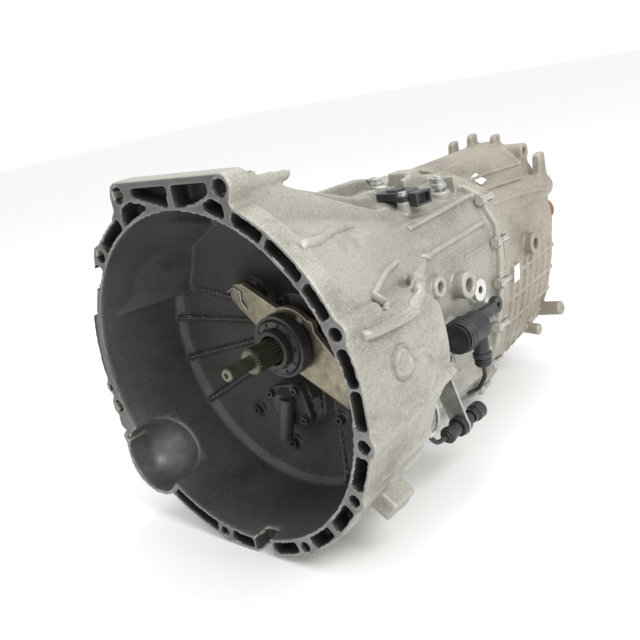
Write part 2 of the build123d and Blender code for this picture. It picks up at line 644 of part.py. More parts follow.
def rear_cavity():
    """Inside of the rear case."""
    inner = rear_body(-CASE_WALL, CASE_JOINT_Y, REAR_END_Y)
    inner = inner & block(-140, 140, CASE_JOINT_Y - 1, REAR_WALL_Y, -220, 160)
    inner += prism(inset(CASE_OUTLINE, CASE_WALL), CASE_JOINT_Y - 1, CASE_JOINT_Y + 1)
    barrel = rod(66, CASE_JOINT_Y, REAR_WALL_Y, 14, 58)
    return inner + (barrel & block(-80, 90, CASE_JOINT_Y - 1, REAR_WALL_Y, 40, 140))


def rear_wall_bosses():
    """Bearing carriers, rail and shaft ends on the end wall."""
    shape = rod(48, 530, REAR_END_Y + 16) + rod(36, 530, REAR_END_Y + 4, COUNTER_X, COUNTER_Z)
    for side in (-1, 1):
        shape += rod(11, REAR_WALL_Y - 12, REAR_WALL_Y + 2, side * RAIL_X, RAIL_Z)
    shape += rod(15, REAR_WALL_Y - 14, REAR_END_Y + 12, 0, SELECTOR_Z)
    shape += rod(16, 520, REAR_END_Y + 2, IDLER_X, IDLER_Z)
    return shape


def rear_ribs():
    """Grid of ribs low on both sides, and vertical ribs on the flanks."""
    shape = None
    for side in (-1, 1):
        for y in (402, 424, 446, 468, 490, 512, 534, 556):
            x = 118 - (y - CASE_JOINT_Y) * tan(radians(REAR_TAPER))
            upright = Location((0, 0, 0)) * block(x - 22, x + 3, y - 2.5, y + 2.5, -96, -6)
            foot = block(x - 44, x - 10, y - 2.5, y + 2.5, -138, -90)
            piece = upright + foot
            if side < 0:
                piece = piece.mirror(Plane.YZ)
            shape = piece if shape is None else shape + piece
        for z, x_in in ((-20, 96), (-52, 90), (-84, 84), (-118, 66)):
            piece = block(x_in - 12, x_in + 16, CASE_JOINT_Y + 10, REAR_END_Y, z - 2.5, z + 2.5)
            if side < 0:
                piece = piece.mirror(Plane.YZ)
            shape += piece
    hull = rear_body(4, CASE_JOINT_Y, REAR_END_Y)
    return (shape & hull) - rear_cavity()


def rear_lugs():
    """Mounting lugs along the top rear edge."""
    shape = None
    for x, z_top, width in ((-34, 138, 9), (-2, 146, 9), (34, 142, 9), (96, 112, 12)):
        y0 = REAR_END_Y - 24
        plate = extrude(Plane.YZ.offset(x - width / 2) * outline(
            [(y0, z_top - 36), (y0 + 6, z_top - 4), (y0 + 12, z_top), (y0 + 22, z_top), (y0 + 24, z_top - 36)]), width)
        shape = plate if shape is None else shape + plate
    shape += bar(11, (50, REAR_END_Y - 12, 116), (78, REAR_END_Y - 12, 116))
    shape += block(52, 76, REAR_END_Y - 22, REAR_END_Y - 2, 84, 112)
    shape -= bar(5, (40, REAR_END_Y - 12, 116), (90, REAR_END_Y - 12, 116))
    # Stub and small boss low on the right, for the gearbox mounting.
    shape += bar(10, (70, 548, -112), (112, 548, -108))
    shape += bar(8, (76, 500, -122), (100, 500, -124))
    return shape


# ---- covers, fasteners and seals -----------------------------------------------------------------
def guide_tube():
    """Sleeve that carries the release bearing, with its flange on the front wall."""
    shape = turned([(16.6, 87), (22, 87), (22, 133), (26, 137), (49, 137), (49, FRONT_WALL_Y - 7), (31.5, FRONT_WALL_Y - 7),
                    (31.5, FRONT_WALL_Y), (19, FRONT_WALL_Y), (19, 140), (16.6, 140)])
    for angle in (20, 110, 200, 290):
        shape -= rod(3.2, 130, 150, *polar(43, angle))
    return shape


def countershaft_cover():
    """Cast cover over the countershaft's front bearing, with an oil pipe across its face."""
    shape = prism(cover_plate(), COVER_SEAT_Y - 8, COVER_SEAT_Y)
    shape += rod(19.7, COVER_SEAT_Y - 4, FRONT_WALL_Y - 4, COUNTER_X, COUNTER_Z)
    shape += cone(12, 17, COVER_SEAT_Y - 20, COVER_SEAT_Y - 8, COUNTER_X - 2, COUNTER_Z + 6)
    shape += bar(8.5, (COUNTER_X + 8, 106, COUNTER_Z + 14), (COUNTER_X - 4, 102, COUNTER_Z - 36))
    for x, z in cover_bolt_points():
        shape += rod(6.5, COVER_SEAT_Y - 10, COVER_SEAT_Y, x, z)
        shape -= rod(3.2, 90, 150, x, z)
    return shape - rod(16, 130, 150, COUNTER_X, COUNTER_Z)


def cover_bolt_points():
    turn = radians(12)
    corners = [(20 * side_x, 18 * side_z) for side_x in (-1, 1) for side_z in (-1, 1)]
    return [(COUNTER_X + x * cos(turn) - z * sin(turn), COUNTER_Z + x * sin(turn) + z * cos(turn)) for x, z in corners]


def bell_bolts():
    """Bolts inside the bell: guide tube, countershaft cover and plugs of the back wall."""
    forward = (0, -1, 0)
    solids = []
    for angle in (20, 110, 200, 290):
        x, z = polar(43, angle)
        solids.append(facing(forward, (x, 137, z)) * bolt(5.2, 5, 2.9, 6.0, 2.6))
    for x, z in cover_bolt_points():
        solids.append(facing(forward, (x, COVER_SEAT_Y - 10, z)) * bolt(4.8, 5, 2.9, 22, 2.5))
    for x, z, seat in wall_bolt_seats():
        solids.append(facing(forward, (x, seat, z)) * bolt(5.2, 4.5, 2.7, 8, 2.6))
    for x, z in slave_bolt_points():
        solids.append(facing((0, 1, 0), (x, SLAVE_SEAT_Y + 6, z)) * hex_bolt(5, 4, 2.9, 16))
    return group(solids)


def case_bolts():
    """Bolts of the case joint."""
    return group([facing((0, -1, 0), (x, CASE_JOINT_Y - 12, z)) * hex_bolt(6.4, 6, 4.0, 23) for x, z in case_bolt_points()])


def oil_plugs():
    solids = []
    for plane in (FILL_PLUG, DRAIN_PLUG):
        plug = Pos(0, 0, 3) * Cylinder(13, 4) + Pos(0, 0, -4) * Cylinder(8.8, 12)
        plug -= Pos(0, 0, 5) * extrude(RegularPolygon(5, 6), -8)
        solids.append(plane.location * plug)
    return solids


def shaft_seals():
    """Lip seals of the input shaft, the output shaft and the selector rod."""
    front = tube(18.9, 16.35, 141, 148)
    rear = tube(30.9, 25.35, REAR_END_Y + 4, REAR_END_Y + 14)
    rod_seal = tube(10.9, SELECTOR_R + 0.35, REAR_END_Y + 3, REAR_END_Y + 11, 0, SELECTOR_Z)
    return group([front, rear, rod_seal])


def breather_cap():
    """Vent cap on a short stem."""
    stem = Pos(78, 333, 111) * Cylinder(4.8, 24)
    cap = Pos(78, 333, 119) * Cylinder(9, 5) + Pos(78, 333, 125) * Cylinder(7.5, 7)
    return stem + cap + Pos(78, 333, 129.5) * Cylinder(5.5, 2)


def detent_plugs():
    """Spring plugs of the rail detents, on the top deck."""
    solids = [Pos(x, y, z) * hex_bolt(7, 7, 3.9, 10) for x, y, z in ((-20, 346, 123), )]
    solids.append(Pos(20, 300, 121) * hex_bolt(8, 7, 4.9, 12))
    return solids


# ---- position sensor ------------------------------------------------------------------------------
def sensor_place():
    """The sensor lies on its two posts, its plug end to the right and rear."""
    (x0, y0), (x1, y1) = SENSOR_POSTS
    return Location(((x0 + x1) / 2, (y0 + y1) / 2, SENSOR_POST_TOP)) * Location((0, 0, 0), (0, 0, -8))


def position_sensor():
    """Flat plastic housing on two posts, with a rectangular plug mouth to the right."""
    housing = extrude(RectangleRounded(46, 34, 9), 9)
    neck = block(14, 30, -11, 11, 1, 8)
    mouth = block(29, 40, -12.5, 12.5, -7, 8.5)
    dome = Pos(-2, 0, 9) * Cylinder(11, 5)
    body = sensor_place() * (housing + neck + mouth + dome - block(32, 41, -9.5, 9.5, -4.5, 6))
    for x, y in SENSOR_POSTS:
        body += Pos(x, y, SENSOR_POST_TOP + 3) * Cylinder(8, 6)
        body -= Pos(x, y, SENSOR_POST_TOP + 16) * Cylinder(7, 20)
        body -= Pos(x, y, SENSOR_POST_TOP + 5) * Cylinder(2.6, 40)
    return body


def sensor_screws():
    return group([Pos(x, y, SENSOR_POST_TOP + 6) * bolt(4.6, 4, 2.4, 11, 2.2) for x, y in SENSOR_POSTS])


# ---- reverse light switch, its plunger, plug and lead -----------------------------------------------
SWITCH_X = 135.5
SWITCH_Y = 262.0
SWITCH_Z = -34.0
PLUNGER_R = 3.3
SWITCH_EYE_Y = 352.0


def reverse_switch():
    """Drum-shaped switch on the side wall, with its arm to the case joint."""
    drum = rod(18, SWITCH_Y - 22, SWITCH_Y + 22, SWITCH_X, SWITCH_Z)
    drum += cone(18, 13, SWITCH_Y - 27, SWITCH_Y - 22, SWITCH_X, SWITCH_Z)
    rings = tube(19.5, 15, SWITCH_Y - 18, SWITCH_Y - 15, SWITCH_X, SWITCH_Z)
    rings += tube(19.5, 15, SWITCH_Y - 11, SWITCH_Y - 8, SWITCH_X, SWITCH_Z)
    foot = block(115.5, 128, SWITCH_Y - 14, SWITCH_Y + 16, SWITCH_Z - 12, SWITCH_Z + 12)
    arm = block(118, 126, SWITCH_Y + 10, SWITCH_EYE_Y, SWITCH_Z - 8, SWITCH_Z + 6)
    eye = bar(10, (117.5, SWITCH_EYE_Y, SWITCH_Z), (126, SWITCH_EYE_Y, SWITCH_Z))
    socket = bar(9, (SWITCH_X + 6, SWITCH_Y + 13, SWITCH_Z - 8), (SWITCH_X + 6, SWITCH_Y + 13, SWITCH_Z - 30))
    body = drum + rings + foot + arm + eye + socket
    body -= bar(3.4, (100, SWITCH_EYE_Y, SWITCH_Z), (140, SWITCH_EYE_Y, SWITCH_Z))
    return body - bar(PLUNGER_R + RUNNING_FIT, (100, SWITCH_Y, SWITCH_Z), (126, SWITCH_Y, SWITCH_Z))


def switch_plunger():
    """Sprung pin that reaches through the case wall."""
    pin = bar(PLUNGER_R, (99, SWITCH_Y, SWITCH_Z), (122, SWITCH_Y, SWITCH_Z))
    return pin + Pos(99, SWITCH_Y, SWITCH_Z) * Sphere(PLUNGER_R)


def switch_plug():
    """Cable plug with three sealing ribs, pushed on the switch's socket from below."""
    x = SWITCH_X + 6
    y = SWITCH_Y + 13
    top = SWITCH_Z - 30
    plug = bar(11, (x, y, top), (x, y, top - 5))
    plug += bar(8.5, (x, y, top - 5), (x, y, top - 16))
    for step in (7.5, 11.5):
        plug += bar(10, (x, y, top - step), (x, y, top - step - 2))
    return plug


def switch_lead():
    """Short lead from the plug down to a clip on the case."""
    x = SWITCH_X + 6
    y = SWITCH_Y + 13
    top = SWITCH_Z - 46
    path = FilletPolyline((x, y, top), (x, y, top - 14), (x - 6, y - 6, top - 27), (x - 20, y - 10, top - 34),
                          radius=14)
    ring = Plane(origin=path @ 0, z_dir=path % 0) * Circle(2.4)
    return sweep(ring, path)


# ---- clutch release: fork, bearing, slave cylinder and hydraulic line -----------------------------
BEARING_FACE_Y = 96.0
FORK_Y = 121.0               # middle of the fork's plate
FORK_T = 7.0
PAD_Y = 113.0                # where the fork's pads press on the bearing's shoulder
HINGE_Y = FORK_Y + FORK_T / 2


def release_sleeve():
    """Sliding sleeve of the release bearing, with the shoulder that the fork pushes."""
    bore_r = 22 + RUNNING_FIT
    return turned([(bore_r, 99), (28, 99), (28, 106), (36, 106), (36, 111), (34, PAD_Y), (bore_r, PAD_Y)])


def release_ring():
    """Front ring of the release bearing, with slots across its face."""
    shape = turned([(24, BEARING_FACE_Y), (30, BEARING_FACE_Y), (32, 98.5), (35.5, 98.5), (35.5, 105.6),
                    (28.4, 105.6), (28.4, 98.6), (24, 98.6)])
    for index in range(10):
        slot = block(25.5, 29, BEARING_FACE_Y - 1, BEARING_FACE_Y + 0.9, -1.2, 1.2)
        shape -= Rot(0, 36 * index, 0) * slot
    return shape


def release_fork():
    """Pressed lever from its ball socket, round the guide tube, to the slave's pushrod."""
    px, pz = PIVOT
    sx, sz = SLAVE
    left = outline([(px - 12, pz + 8), (px + 6, pz + 15), (-12, 38), (38, 24), (40, -20), (20, -38), (-30, -24), (-40, 6),
                    (px - 10, pz - 10)])
    right = outline([(30, 22), (sx + 9, sz + 16), (sx + 11, sz - 9), (sx - 12, sz - 12), (0, -37)])
    body = left + right + disc(39.5) + disc(14, px, pz) + disc(13, sx, sz)
    plate = prism(body, FORK_Y - FORK_T / 2, FORK_Y + FORK_T / 2)
    plate += prism(body - offset(body, -4.5), FORK_Y - FORK_T / 2, FORK_Y + FORK_T / 2 + 1)
    plate -= rod(28, 100, 140)
    reach = hypot(sx - px, sz - pz)
    along_x = (sx - px) / reach
    along_z = (sz - pz) / reach
    for side in (-30, 30):
        plate += Pos(-side * along_z, PAD_Y + BODY_GAP + 6, side * along_x) * Sphere(6)
    plate -= Pos(px, HINGE_Y, pz) * Sphere(7.3)
    # The pushrod's socket is a short groove, because the lever's end swings through an arc.
    ends = [(sx + shift * along_x, FORK_Y + 5, sz + shift * along_z) for shift in (-0.5, 1.8)]
    plate -= bar(4.5, ends[0], ends[1])
    for end in ends:
        plate -= Pos(*end) * Sphere(4.5)
    return plate


def fork_stud():
    """Ball stud that the release fork tips on."""
    px, pz = PIVOT
    stem = rod(5, HINGE_Y, 134, px, pz) + rod(8, 132, 134, px, pz) + rod(3.95, 134, 148, px, pz)
    return stem + Pos(px, HINGE_Y, pz) * Sphere(7)


def spring_clip():
    """Wire clip that holds the fork on its ball stud."""
    px, pz = PIVOT
    y = FORK_Y - FORK_T / 2 - 1.3
    path = FilletPolyline((px + 9, y, pz - 16), (px + 3, y, pz - 6), (px + 5, y, pz + 5), (px - 5, y, pz + 10),
                          (px - 16, y, pz + 4), radius=3)
    ring = Plane(origin=path @ 0, z_dir=path % 0) * Circle(1.1)
    return sweep(ring, path)


def slave_cylinder():
    """Clutch slave cylinder, pushed through the bell's back wall from behind."""
    sx, sz = SLAVE
    shape = rod(14.8, 134, SLAVE_SEAT_Y, sx, sz) + rod(17, SLAVE_SEAT_Y, 212, sx, sz)
    shape += cone(17, 12, 212, 218, sx, sz)
    flange = disc(19, sx, sz) + RectangleRounded(16, 61, 7.9).moved(Location((sx, sz, 0)))
    shape += prism(flange, SLAVE_SEAT_Y, SLAVE_SEAT_Y + 6)
    for x, z in slave_bolt_points():
        shape -= rod(3.1, SLAVE_SEAT_Y - 1, SLAVE_SEAT_Y + 7, x, z)
    shape += bar(6, (sx, 190, sz), LINE_POINTS[-1])
    shape += bar(5.5, (sx, 204, sz), BLEED_POINTS[0])
    return shape - rod(9, 130, 196, sx, sz)


def slave_pushrod():
    sx, sz = SLAVE
    shape = rod(3.6, FORK_Y + 5, 170, sx, sz) + Pos(sx, FORK_Y + 5, sz) * Sphere(4.1)
    return shape + rod(9 - RUNNING_FIT, 160, 184, sx, sz)


BRACKET_Y = 196.0            # front face of the strap
BRACKET_BOLT_Y = 238.0
BRACKET_BOLT_Z = -59.0
COUPLING_X = 151.0
COUPLING_Z = -117.0
LINE_R = 2.6
LINE_POINTS = [
    (COUPLING_X, 166.0, COUPLING_Z), (151.0, 149.0, -116.0), (148.0, 139.0, -100.0), (143.0, 146.0, -83.0),
    (130.0, 170.0, -76.5), (116.0, 190.0, -75.15), (100.0, 190.0, -69.6),
]
BLEED_POINTS = [
    (98.0, 204.0, -55.33), (107.0, 204.0, -52.33), (115.0, 197.0, -51.5), (120.0, 184.0, -55.0),
    (134.0, 172.0, -66.0), (150.0, 162.0, -86.0), (158.0, 146.0, -96.0), (158.0, 128.0, -96.0),
]


def corner_radii(points):
    """Largest arc at each corner: 0.45 of the shorter run over the tangent of half the turn."""
    radii = []
    for before, here, after in zip(points, points[1:], points[2:]):
        run_in = Vector(*here) - Vector(*before)
        run_out = Vector(*after) - Vector(*here)
        turn = radians(run_in.get_angle(run_out))
        radii.append(0.45 * min(run_in.length, run_out.length) / tan(turn / 2))
    return radii


def clutch_line():
    """Hydraulic line from the quick coupling, round the bell's rear edge, to the slave cylinder."""
    radii = corner_radii(LINE_POINTS)
    print("clutch line radii", [round(r, 1) for r in radii])
    path = FilletPolyline(*LINE_POINTS, radius=radii)
    ring = Plane(origin=path @ 0, z_dir=path % 0) * Circle(LINE_R)
    line = sweep(ring, path)
    print("clutch line volume ratio", round(line.volume / (pi * LINE_R**2 * path.length), 4))
    return line


def line_bracket():
    """Steel strap from the gear case's flank down to the grommet."""
    y = BRACKET_Y
    strap = outline([(121, -40), (141, -36), (COUPLING_X + 11, COUPLING_Z + 4), (COUPLING_X - 11, COUPLING_Z), (121, -66)])
    plate = prism(strap + disc(12.5, COUPLING_X, COUPLING_Z), y, y + 3)
    plate += block(120.5, 123.5, y, BRACKET_BOLT_Y + 9, -68, -50)
    plate -= rod(8.05, y - 5, y + 8, COUPLING_X, COUPLING_Z)
    return plate - bar(3.3, (100, BRACKET_BOLT_Y, BRACKET_BOLT_Z), (140, BRACKET_BOLT_Y, BRACKET_BOLT_Z))


def line_grommet():
    """Rubber grommet with a groove for the strap."""
    shape = rod(11, 190, 195.9, COUPLING_X, COUPLING_Z) + rod(11, 199.1, 205, COUPLING_X, COUPLING_Z)
    shape += rod(8, 195, 200, COUPLING_X, COUPLING_Z)
    return shape - rod(6.02, 180, 210, COUPLING_X, COUPLING_Z)


def quick_coupling():
    """Plastic quick coupling held by the grommet."""
    shape = rod(8, 168, 188.9, COUPLING_X, COUPLING_Z) + rod(6, 188, 226, COUPLING_X, COUPLING_Z)
    shape += rod(9.2, 170, 174, COUPLING_X, COUPLING_Z) + rod(5, 166, 169, COUPLING_X, COUPLING_Z)
    shape += tube(8, 5, 209, 213, COUPLING_X, COUPLING_Z)
    return shape - rod(3, 200, 230, COUPLING_X, COUPLING_Z) - rod(LINE_R, 160, 176, COUPLING_X, COUPLING_Z)


def coupling_cap():
    """Dust cap on the coupling's open end."""
    shape = rod(10, 226.1, 238, COUPLING_X, COUPLING_Z) + cone(10, 8, 238, 241, COUPLING_X, COUPLING_Z)
    shape += rod(8.2, 218, 226.1, COUPLING_X, COUPLING_Z)
    return shape - rod(6.02, 210, 226.1, COUPLING_X, COUPLING_Z)


def bleed_pipe():
    """Bleed pipe with a blunt rubber cap, from the slave cylinder out beside the bell."""
    radii = corner_radii(BLEED_POINTS)
    print("bleed pipe radii", [round(r, 1) for r in radii])
    path = FilletPolyline(*BLEED_POINTS, radius=radii)
    ring = Plane(origin=path @ 0, z_dir=path % 0) * Circle(2.5)
    return sweep(ring, path)


# ---- shafts and gears ----------------------------------------------------------------------------
def main_gear(name, bore_r):
    """A loose gear on the output shaft, with its dog teeth towards its synchro."""
    start, width = GEAR_SPAN[name]
    teeth = REVERSE_MAIN_TEETH if name == "r" else PAIRS[name][1]
    dogs_behind = name in ("4", "2", "r")
    shape = prism(gear_outline(teeth), start, start + width)
    dogs = spline_outline(36, DOG_TIP_R - 1.6, DOG_TIP_R)
    cone_start = start + width if dogs_behind else start - DOG_WIDTH
    shape += prism(dogs, cone_start, cone_start + DOG_WIDTH)
    hub = 24.0
    neck = rod(hub, cone_start, cone_start + DOG_WIDTH + 0.3) if dogs_behind else rod(hub, cone_start - 0.3, start)
    shape += neck
    recess_r = GEAR_MODULE * teeth / 2 - 9
    if recess_r > 34:
        face = start - 0.1 if dogs_behind else start + width - 3.9
        shape -= tube(recess_r, 30, face, face + 4)
    return shape - rod(bore_r, start - 10, start + width + 10)


def input_shaft():
    start, width = GEAR_SPAN["input"]
    shape = turned([(0, 19), (6, 19), (7.5, 21), (7.5, 55), (12.6, 55), (12.6, 126), (16, 126), (16, 150), (17.5, 150),
                    (17.5, 168), (22, 168), (22, start), (0, start)])
    shape += prism(spline_outline(24, 12.4, 14.5), 56, 120)
    shape += prism(gear_outline(PAIRS["input"][1]), start, start + width)
    shape += prism(spline_outline(36, DOG_TIP_R - 1.6, DOG_TIP_R), start + width, start + width + DOG_WIDTH)
    shape += rod(24, start + width, start + width + DOG_WIDTH + 0.3)
    shape -= rod(14, start + 4, start + width + 10)
    return shape - cone(3.4, 1.2, 18.9, 27)


def countershaft():
    """Countershaft with its gears in one piece, each in mesh with its partner."""
    shape = rod(14, FRONT_WALL_Y, COUNTER_BEARING_END - 0.5, COUNTER_X, COUNTER_Z) + rod(COUNTER_SHAFT_R, 169, 537, COUNTER_X, COUNTER_Z)
    for name, (counter_teeth, main_teeth) in PAIRS.items():
        start, width = GEAR_SPAN[name]
        face = gear_outline(counter_teeth, phase=counter_phase(main_teeth, counter_teeth))
        shape += Pos(COUNTER_X, 0, COUNTER_Z) * prism(face, start + 1, start + width - 1)
    start, width = GEAR_SPAN["r"]
    face = gear_outline(REVERSE_COUNTER_TEETH, phase=REVERSE_COUNTER_PHASE)
    shape += Pos(COUNTER_X, 0, COUNTER_Z) * prism(face, start + 1, start + width - 1)
    return shape


IDLER_FROM_MAIN = atan2(IDLER_Z, IDLER_X)
IDLER_PHASE = mesh_phase(REVERSE_MAIN_TEETH, 0.0, REVERSE_IDLER_TEETH, IDLER_FROM_MAIN)
COUNTER_FROM_IDLER = atan2(COUNTER_Z - IDLER_Z, COUNTER_X - IDLER_X)
REVERSE_COUNTER_PHASE = mesh_phase(REVERSE_IDLER_TEETH, IDLER_PHASE, REVERSE_COUNTER_TEETH, COUNTER_FROM_IDLER)


def reverse_idler():
    start, width = GEAR_SPAN["r"]
    shape = prism(gear_outline(REVERSE_IDLER_TEETH, phase=IDLER_PHASE), start + 1, start + width - 1)
    shape += rod(14, start + width - 1, start + width + 8)
    return Pos(IDLER_X, 0, IDLER_Z) * (shape - rod(IDLER_SHAFT_R + RUNNING_FIT, start - 5, start + width + 20))


def idler_shaft():
    start = GEAR_SPAN["r"][0]
    shape = rod(IDLER_SHAFT_R, start - 4, REAR_WALL_Y + 8, IDLER_X, IDLER_Z)
    return shape + rod(12, start - 7, start - 4, IDLER_X, IDLER_Z)


FLANGE_FACE_Y = 640.0        # seat of the flange nut
FLANGE_ARM_Y = 624.0
FLANGE_BOLT_R = 56.0


def output_shaft():
    """Stepped main shaft: pilot, gear seats and output spline."""
    return turned([(0, 178), (9, 178), (9, 199), (17, 199), (17, 253), (MAIN_SHAFT_R, 253), (MAIN_SHAFT_R, 528), (17.5, 528),
                   (17.5, FLANGE_FACE_Y), (13, FLANGE_FACE_Y), (13, FLANGE_FACE_Y + 15), (0, FLANGE_FACE_Y + 15)])


def output_flange():
    """Three-armed coupling flange."""
    arms = disc(32)
    for angle in (14, 134, 254):
        x, z = polar(FLANGE_BOLT_R, angle)
        arms += disc(17, x, z)
        nx, nz = polar(15, angle + 90)
        arms += outline([(nx, nz), (x + nx, z + nz), (x - nx, z - nz), (-nx, -nz)])
    shape = prism(arms, FLANGE_ARM_Y, FLANGE_FACE_Y)
    for angle in (14, 134, 254):
        x, z = polar(FLANGE_BOLT_R, angle)
        shape += rod(15, FLANGE_ARM_Y - 10, FLANGE_FACE_Y + 2, x, z)
        shape -= rod(6.05, FLANGE_ARM_Y - 14, FLANGE_FACE_Y + 4, x, z)
    shape += rod(25, REAR_END_Y + 2, FLANGE_ARM_Y) + rod(36, FLANGE_ARM_Y - 12, FLANGE_ARM_Y)
    return shape - rod(17.5, REAR_END_Y, FLANGE_FACE_Y + 5)


def flange_nut():
    """Hexagon nut that holds the flange on the output shaft."""
    return prism(RegularPolygon(24, 6) - Circle(13), FLANGE_FACE_Y, FLANGE_FACE_Y + 12)


def synchro_hubs():
    """Four hubs on the output shaft, splined outside for the sleeves."""
    solids = []
    for name, y in SYNCHRO_Y.items():
        face = spline_outline(36, DOG_R - 2.3, DOG_R - 0.4)
        hub = prism(face, y + 5, y + 5 + HUB_WIDTH)
        hub -= tube(25.5, 22.5, y + 4, y + 8)
        solids.append(hub - rod(17 if name == "56" else MAIN_SHAFT_R, y, y + 40))
    return group(solids)


def synchro_rings():
    """Seven brass friction rings, one between each hub and its gear."""
    solids = []
    for name, y in SYNCHRO_Y.items():
        solids.append(tube(DOG_R - 2.6, 24.4, y + 0.4, y + 4.7))
        if name != "r":
            solids.append(tube(DOG_R - 2.6, 24.4, y + 5.3 + HUB_WIDTH, y + 9.6 + HUB_WIDTH))
    return group(solids)


def shift_sleeve(name):
    """Sliding sleeve with an inner spline and the fork's groove."""
    start = SYNCHRO_Y[name] + 5 + (HUB_WIDTH - SLEEVE_WIDTH) / 2
    end = start + SLEEVE_WIDTH
    middle = (start + end) / 2
    shape = prism(disc(SLEEVE_R) - spline_outline(36, DOG_R - 1.9, DOG_R + 0.6, share=0.64), start, end)
    groove = tube(SLEEVE_R + 1, SLEEVE_GROOVE_R, middle - SLEEVE_GROOVE_WIDTH / 2, middle + SLEEVE_GROOVE_WIDTH / 2)
    return shape - groove


def bearing(outer_r, inner_r, y, x=0.0, z=0.0):
    """Outer race, and inner race with its balls, of a deep-groove bearing."""
    ball_r = (outer_r - inner_r) * 0.27
    middle = (outer_r + inner_r) / 2
    centre_y = y + BEARING_WIDTH / 2
    lands = (outer_r - inner_r) * 0.3
    outer = tube(outer_r, outer_r - lands, y, y + BEARING_WIDTH)
    inner = tube(inner_r + lands, inner_r, y, y + BEARING_WIDTH)
    groove = Pos(0, centre_y, 0) * Rot(90, 0, 0) * Torus(middle, ball_r + BODY_GAP)
    outer -= groove
    inner -= groove
    place = Pos(x, 0, z)
    balls = [place * Pos(middle * cos(a), centre_y, middle * sin(a)) * Sphere(ball_r)
             for a in [2 * pi * i / 9 for i in range(9)]]
    return place * outer, [place * inner] + balls


# ---- gear selection ------------------------------------------------------------------------------
def fork_rails():
    return group([rod(RAIL_R, FRONT_WALL_Y + FRONT_WALL_T, REAR_WALL_Y + 8, side * RAIL_X, RAIL_Z) for side in (-1, 1)])


def shift_fork(name, side, gate_x, gate_top):
    """Fork on one rail: half ring in the sleeve's groove, and a gate bar to the selector finger."""
    middle = SYNCHRO_Y[name] + 5 + HUB_WIDTH / 2
    half_t = SLEEVE_GROOVE_WIDTH / 2 - BODY_GAP
    x_gate = side * gate_x
    x_rail = side * RAIL_X
    web = outline([(side * 50, 4), (side * 50, 72), (side * 46, 86), (x_rail, 88), (x_gate - side * 2, gate_top),
                   (x_gate - side * 2, 62), (side * 14, 40)])
    ring = (disc(51) & outline([(-60, 0), (60, 0), (60, 60), (-60, 60)])) + web
    plate = prism(ring - disc(SLEEVE_GROOVE_R + BODY_GAP + 0.1), middle - half_t, middle + half_t)
    eye = rod(11, middle - 17, middle + 17, x_rail, RAIL_Z)
    y0 = min(FINGER_Y - 9, middle - half_t)
    y1 = max(FINGER_Y + 9, middle + half_t)
    gate = block(x_gate - 2, x_gate + 2, y0, y1, 66, gate_top)
    shape = plate + eye + gate
    shape -= block(x_gate - 3, x_gate + 3, FINGER_Y - 4, FINGER_Y + 4, 68, gate_top + 2)
    return shape - rod(RAIL_R + RUNNING_FIT, middle - 30, middle + 30, x_rail, RAIL_Z)


def selector_interlock():
    """Sleeve that turns with the selector rod in its pedestal but doesn't slide."""
    shape = rod(SELECTOR_R + 3, 222, 240, 0, SELECTOR_Z) + rod(14, 240.3, 244, 0, SELECTOR_Z)
    shape += rod(SELECTOR_R + 3, 239, 241, 0, SELECTOR_Z) + rod(14, 220, 225.7, 0, SELECTOR_Z)
    return shape - rod(SELECTOR_R + RUNNING_FIT, 210, 250, 0, SELECTOR_Z)


def selector_rod():
    shape = rod(SELECTOR_R, 206, 606, 0, SELECTOR_Z)
    return shape - bar(3.05, (-12, 598, SELECTOR_Z), (12, 598, SELECTOR_Z))


def selector_finger():
    """Finger clamped on the selector rod, with its tab down into the gates."""
    hub = rod(11, FINGER_Y - 8, FINGER_Y + 14, 0, SELECTOR_Z)
    tab = block(-2, 2, FINGER_Y - 3.5, FINGER_Y + 3.5, SELECTOR_Z - 22, SELECTOR_Z - 8)
    magnet = block(-5, 5, FINGER_Y + 2, FINGER_Y + 13, SELECTOR_Z + 8, SELECTOR_Z + 12.5)
    return hub + tab + magnet - rod(SELECTOR_R, FINGER_Y - 20, FINGER_Y + 30, 0, SELECTOR_Z)


def selector_joint():
    """Yoke on the rod's rear end, for the gear linkage."""
    yoke = rod(11, 590, 606.0, 0, SELECTOR_Z) + block(-11, 11, 606, 626, SELECTOR_Z - 8, SELECTOR_Z + 8)
    yoke -= block(-6, 6, 609, 628, SELECTOR_Z - 10, SELECTOR_Z + 10)
    yoke -= bar(4.05, (-20, 618, SELECTOR_Z), (20, 618, SELECTOR_Z))
    return yoke - rod(SELECTOR_R, 580, 606.0, 0, SELECTOR_Z)


# ---- write every sub-part -------------------------------------------------------------------------
save(front_case(), "front_case")
save(rear_case(), "rear_case")
save(guide_tube(), "guide_tube")
save(countershaft_cover(), "countershaft_cover")
save(bell_bolts(), "bell_bolts")
save(case_bolts(), "case_joint_bolts")
save(shaft_seals(), "shaft_seals")
save(breather_cap(), "breather_cap")
save(group(oil_plugs() + detent_plugs()), "screw_plugs")
save(position_sensor(), "position_sensor")
save(sensor_screws(), "position_sensor_screws")
save(reverse_switch(), "reverse_light_switch")
save(switch_plunger(), "switch_plunger")
save(switch_plug(), "switch_plug")
save(switch_lead(), "switch_lead")
save(release_sleeve(), "release_bearing_sleeve")
save(release_ring(), "release_bearing_ring")
save(release_fork(), "release_fork")
save(fork_stud(), "release_fork_stud")
save(spring_clip(), "fork_spring_clip")
save(slave_cylinder(), "slave_cylinder")
save(slave_pushrod(), "slave_pushrod")
save(clutch_line(), "clutch_line")
save(line_bracket(), "line_bracket")
save(line_grommet(), "line_grommet")
save(quick_coupling(), "quick_coupling")
save(coupling_cap(), "coupling_dust_cap")
save(bleed_pipe(), "bleed_pipe")
save(input_shaft(), "input_shaft")
save(countershaft(), "countershaft")
save(output_shaft(), "output_shaft")
save(output_flange(), "output_flange")
save(flange_nut(), "flange_nut")
save(synchro_hubs(), "synchro_hubs")
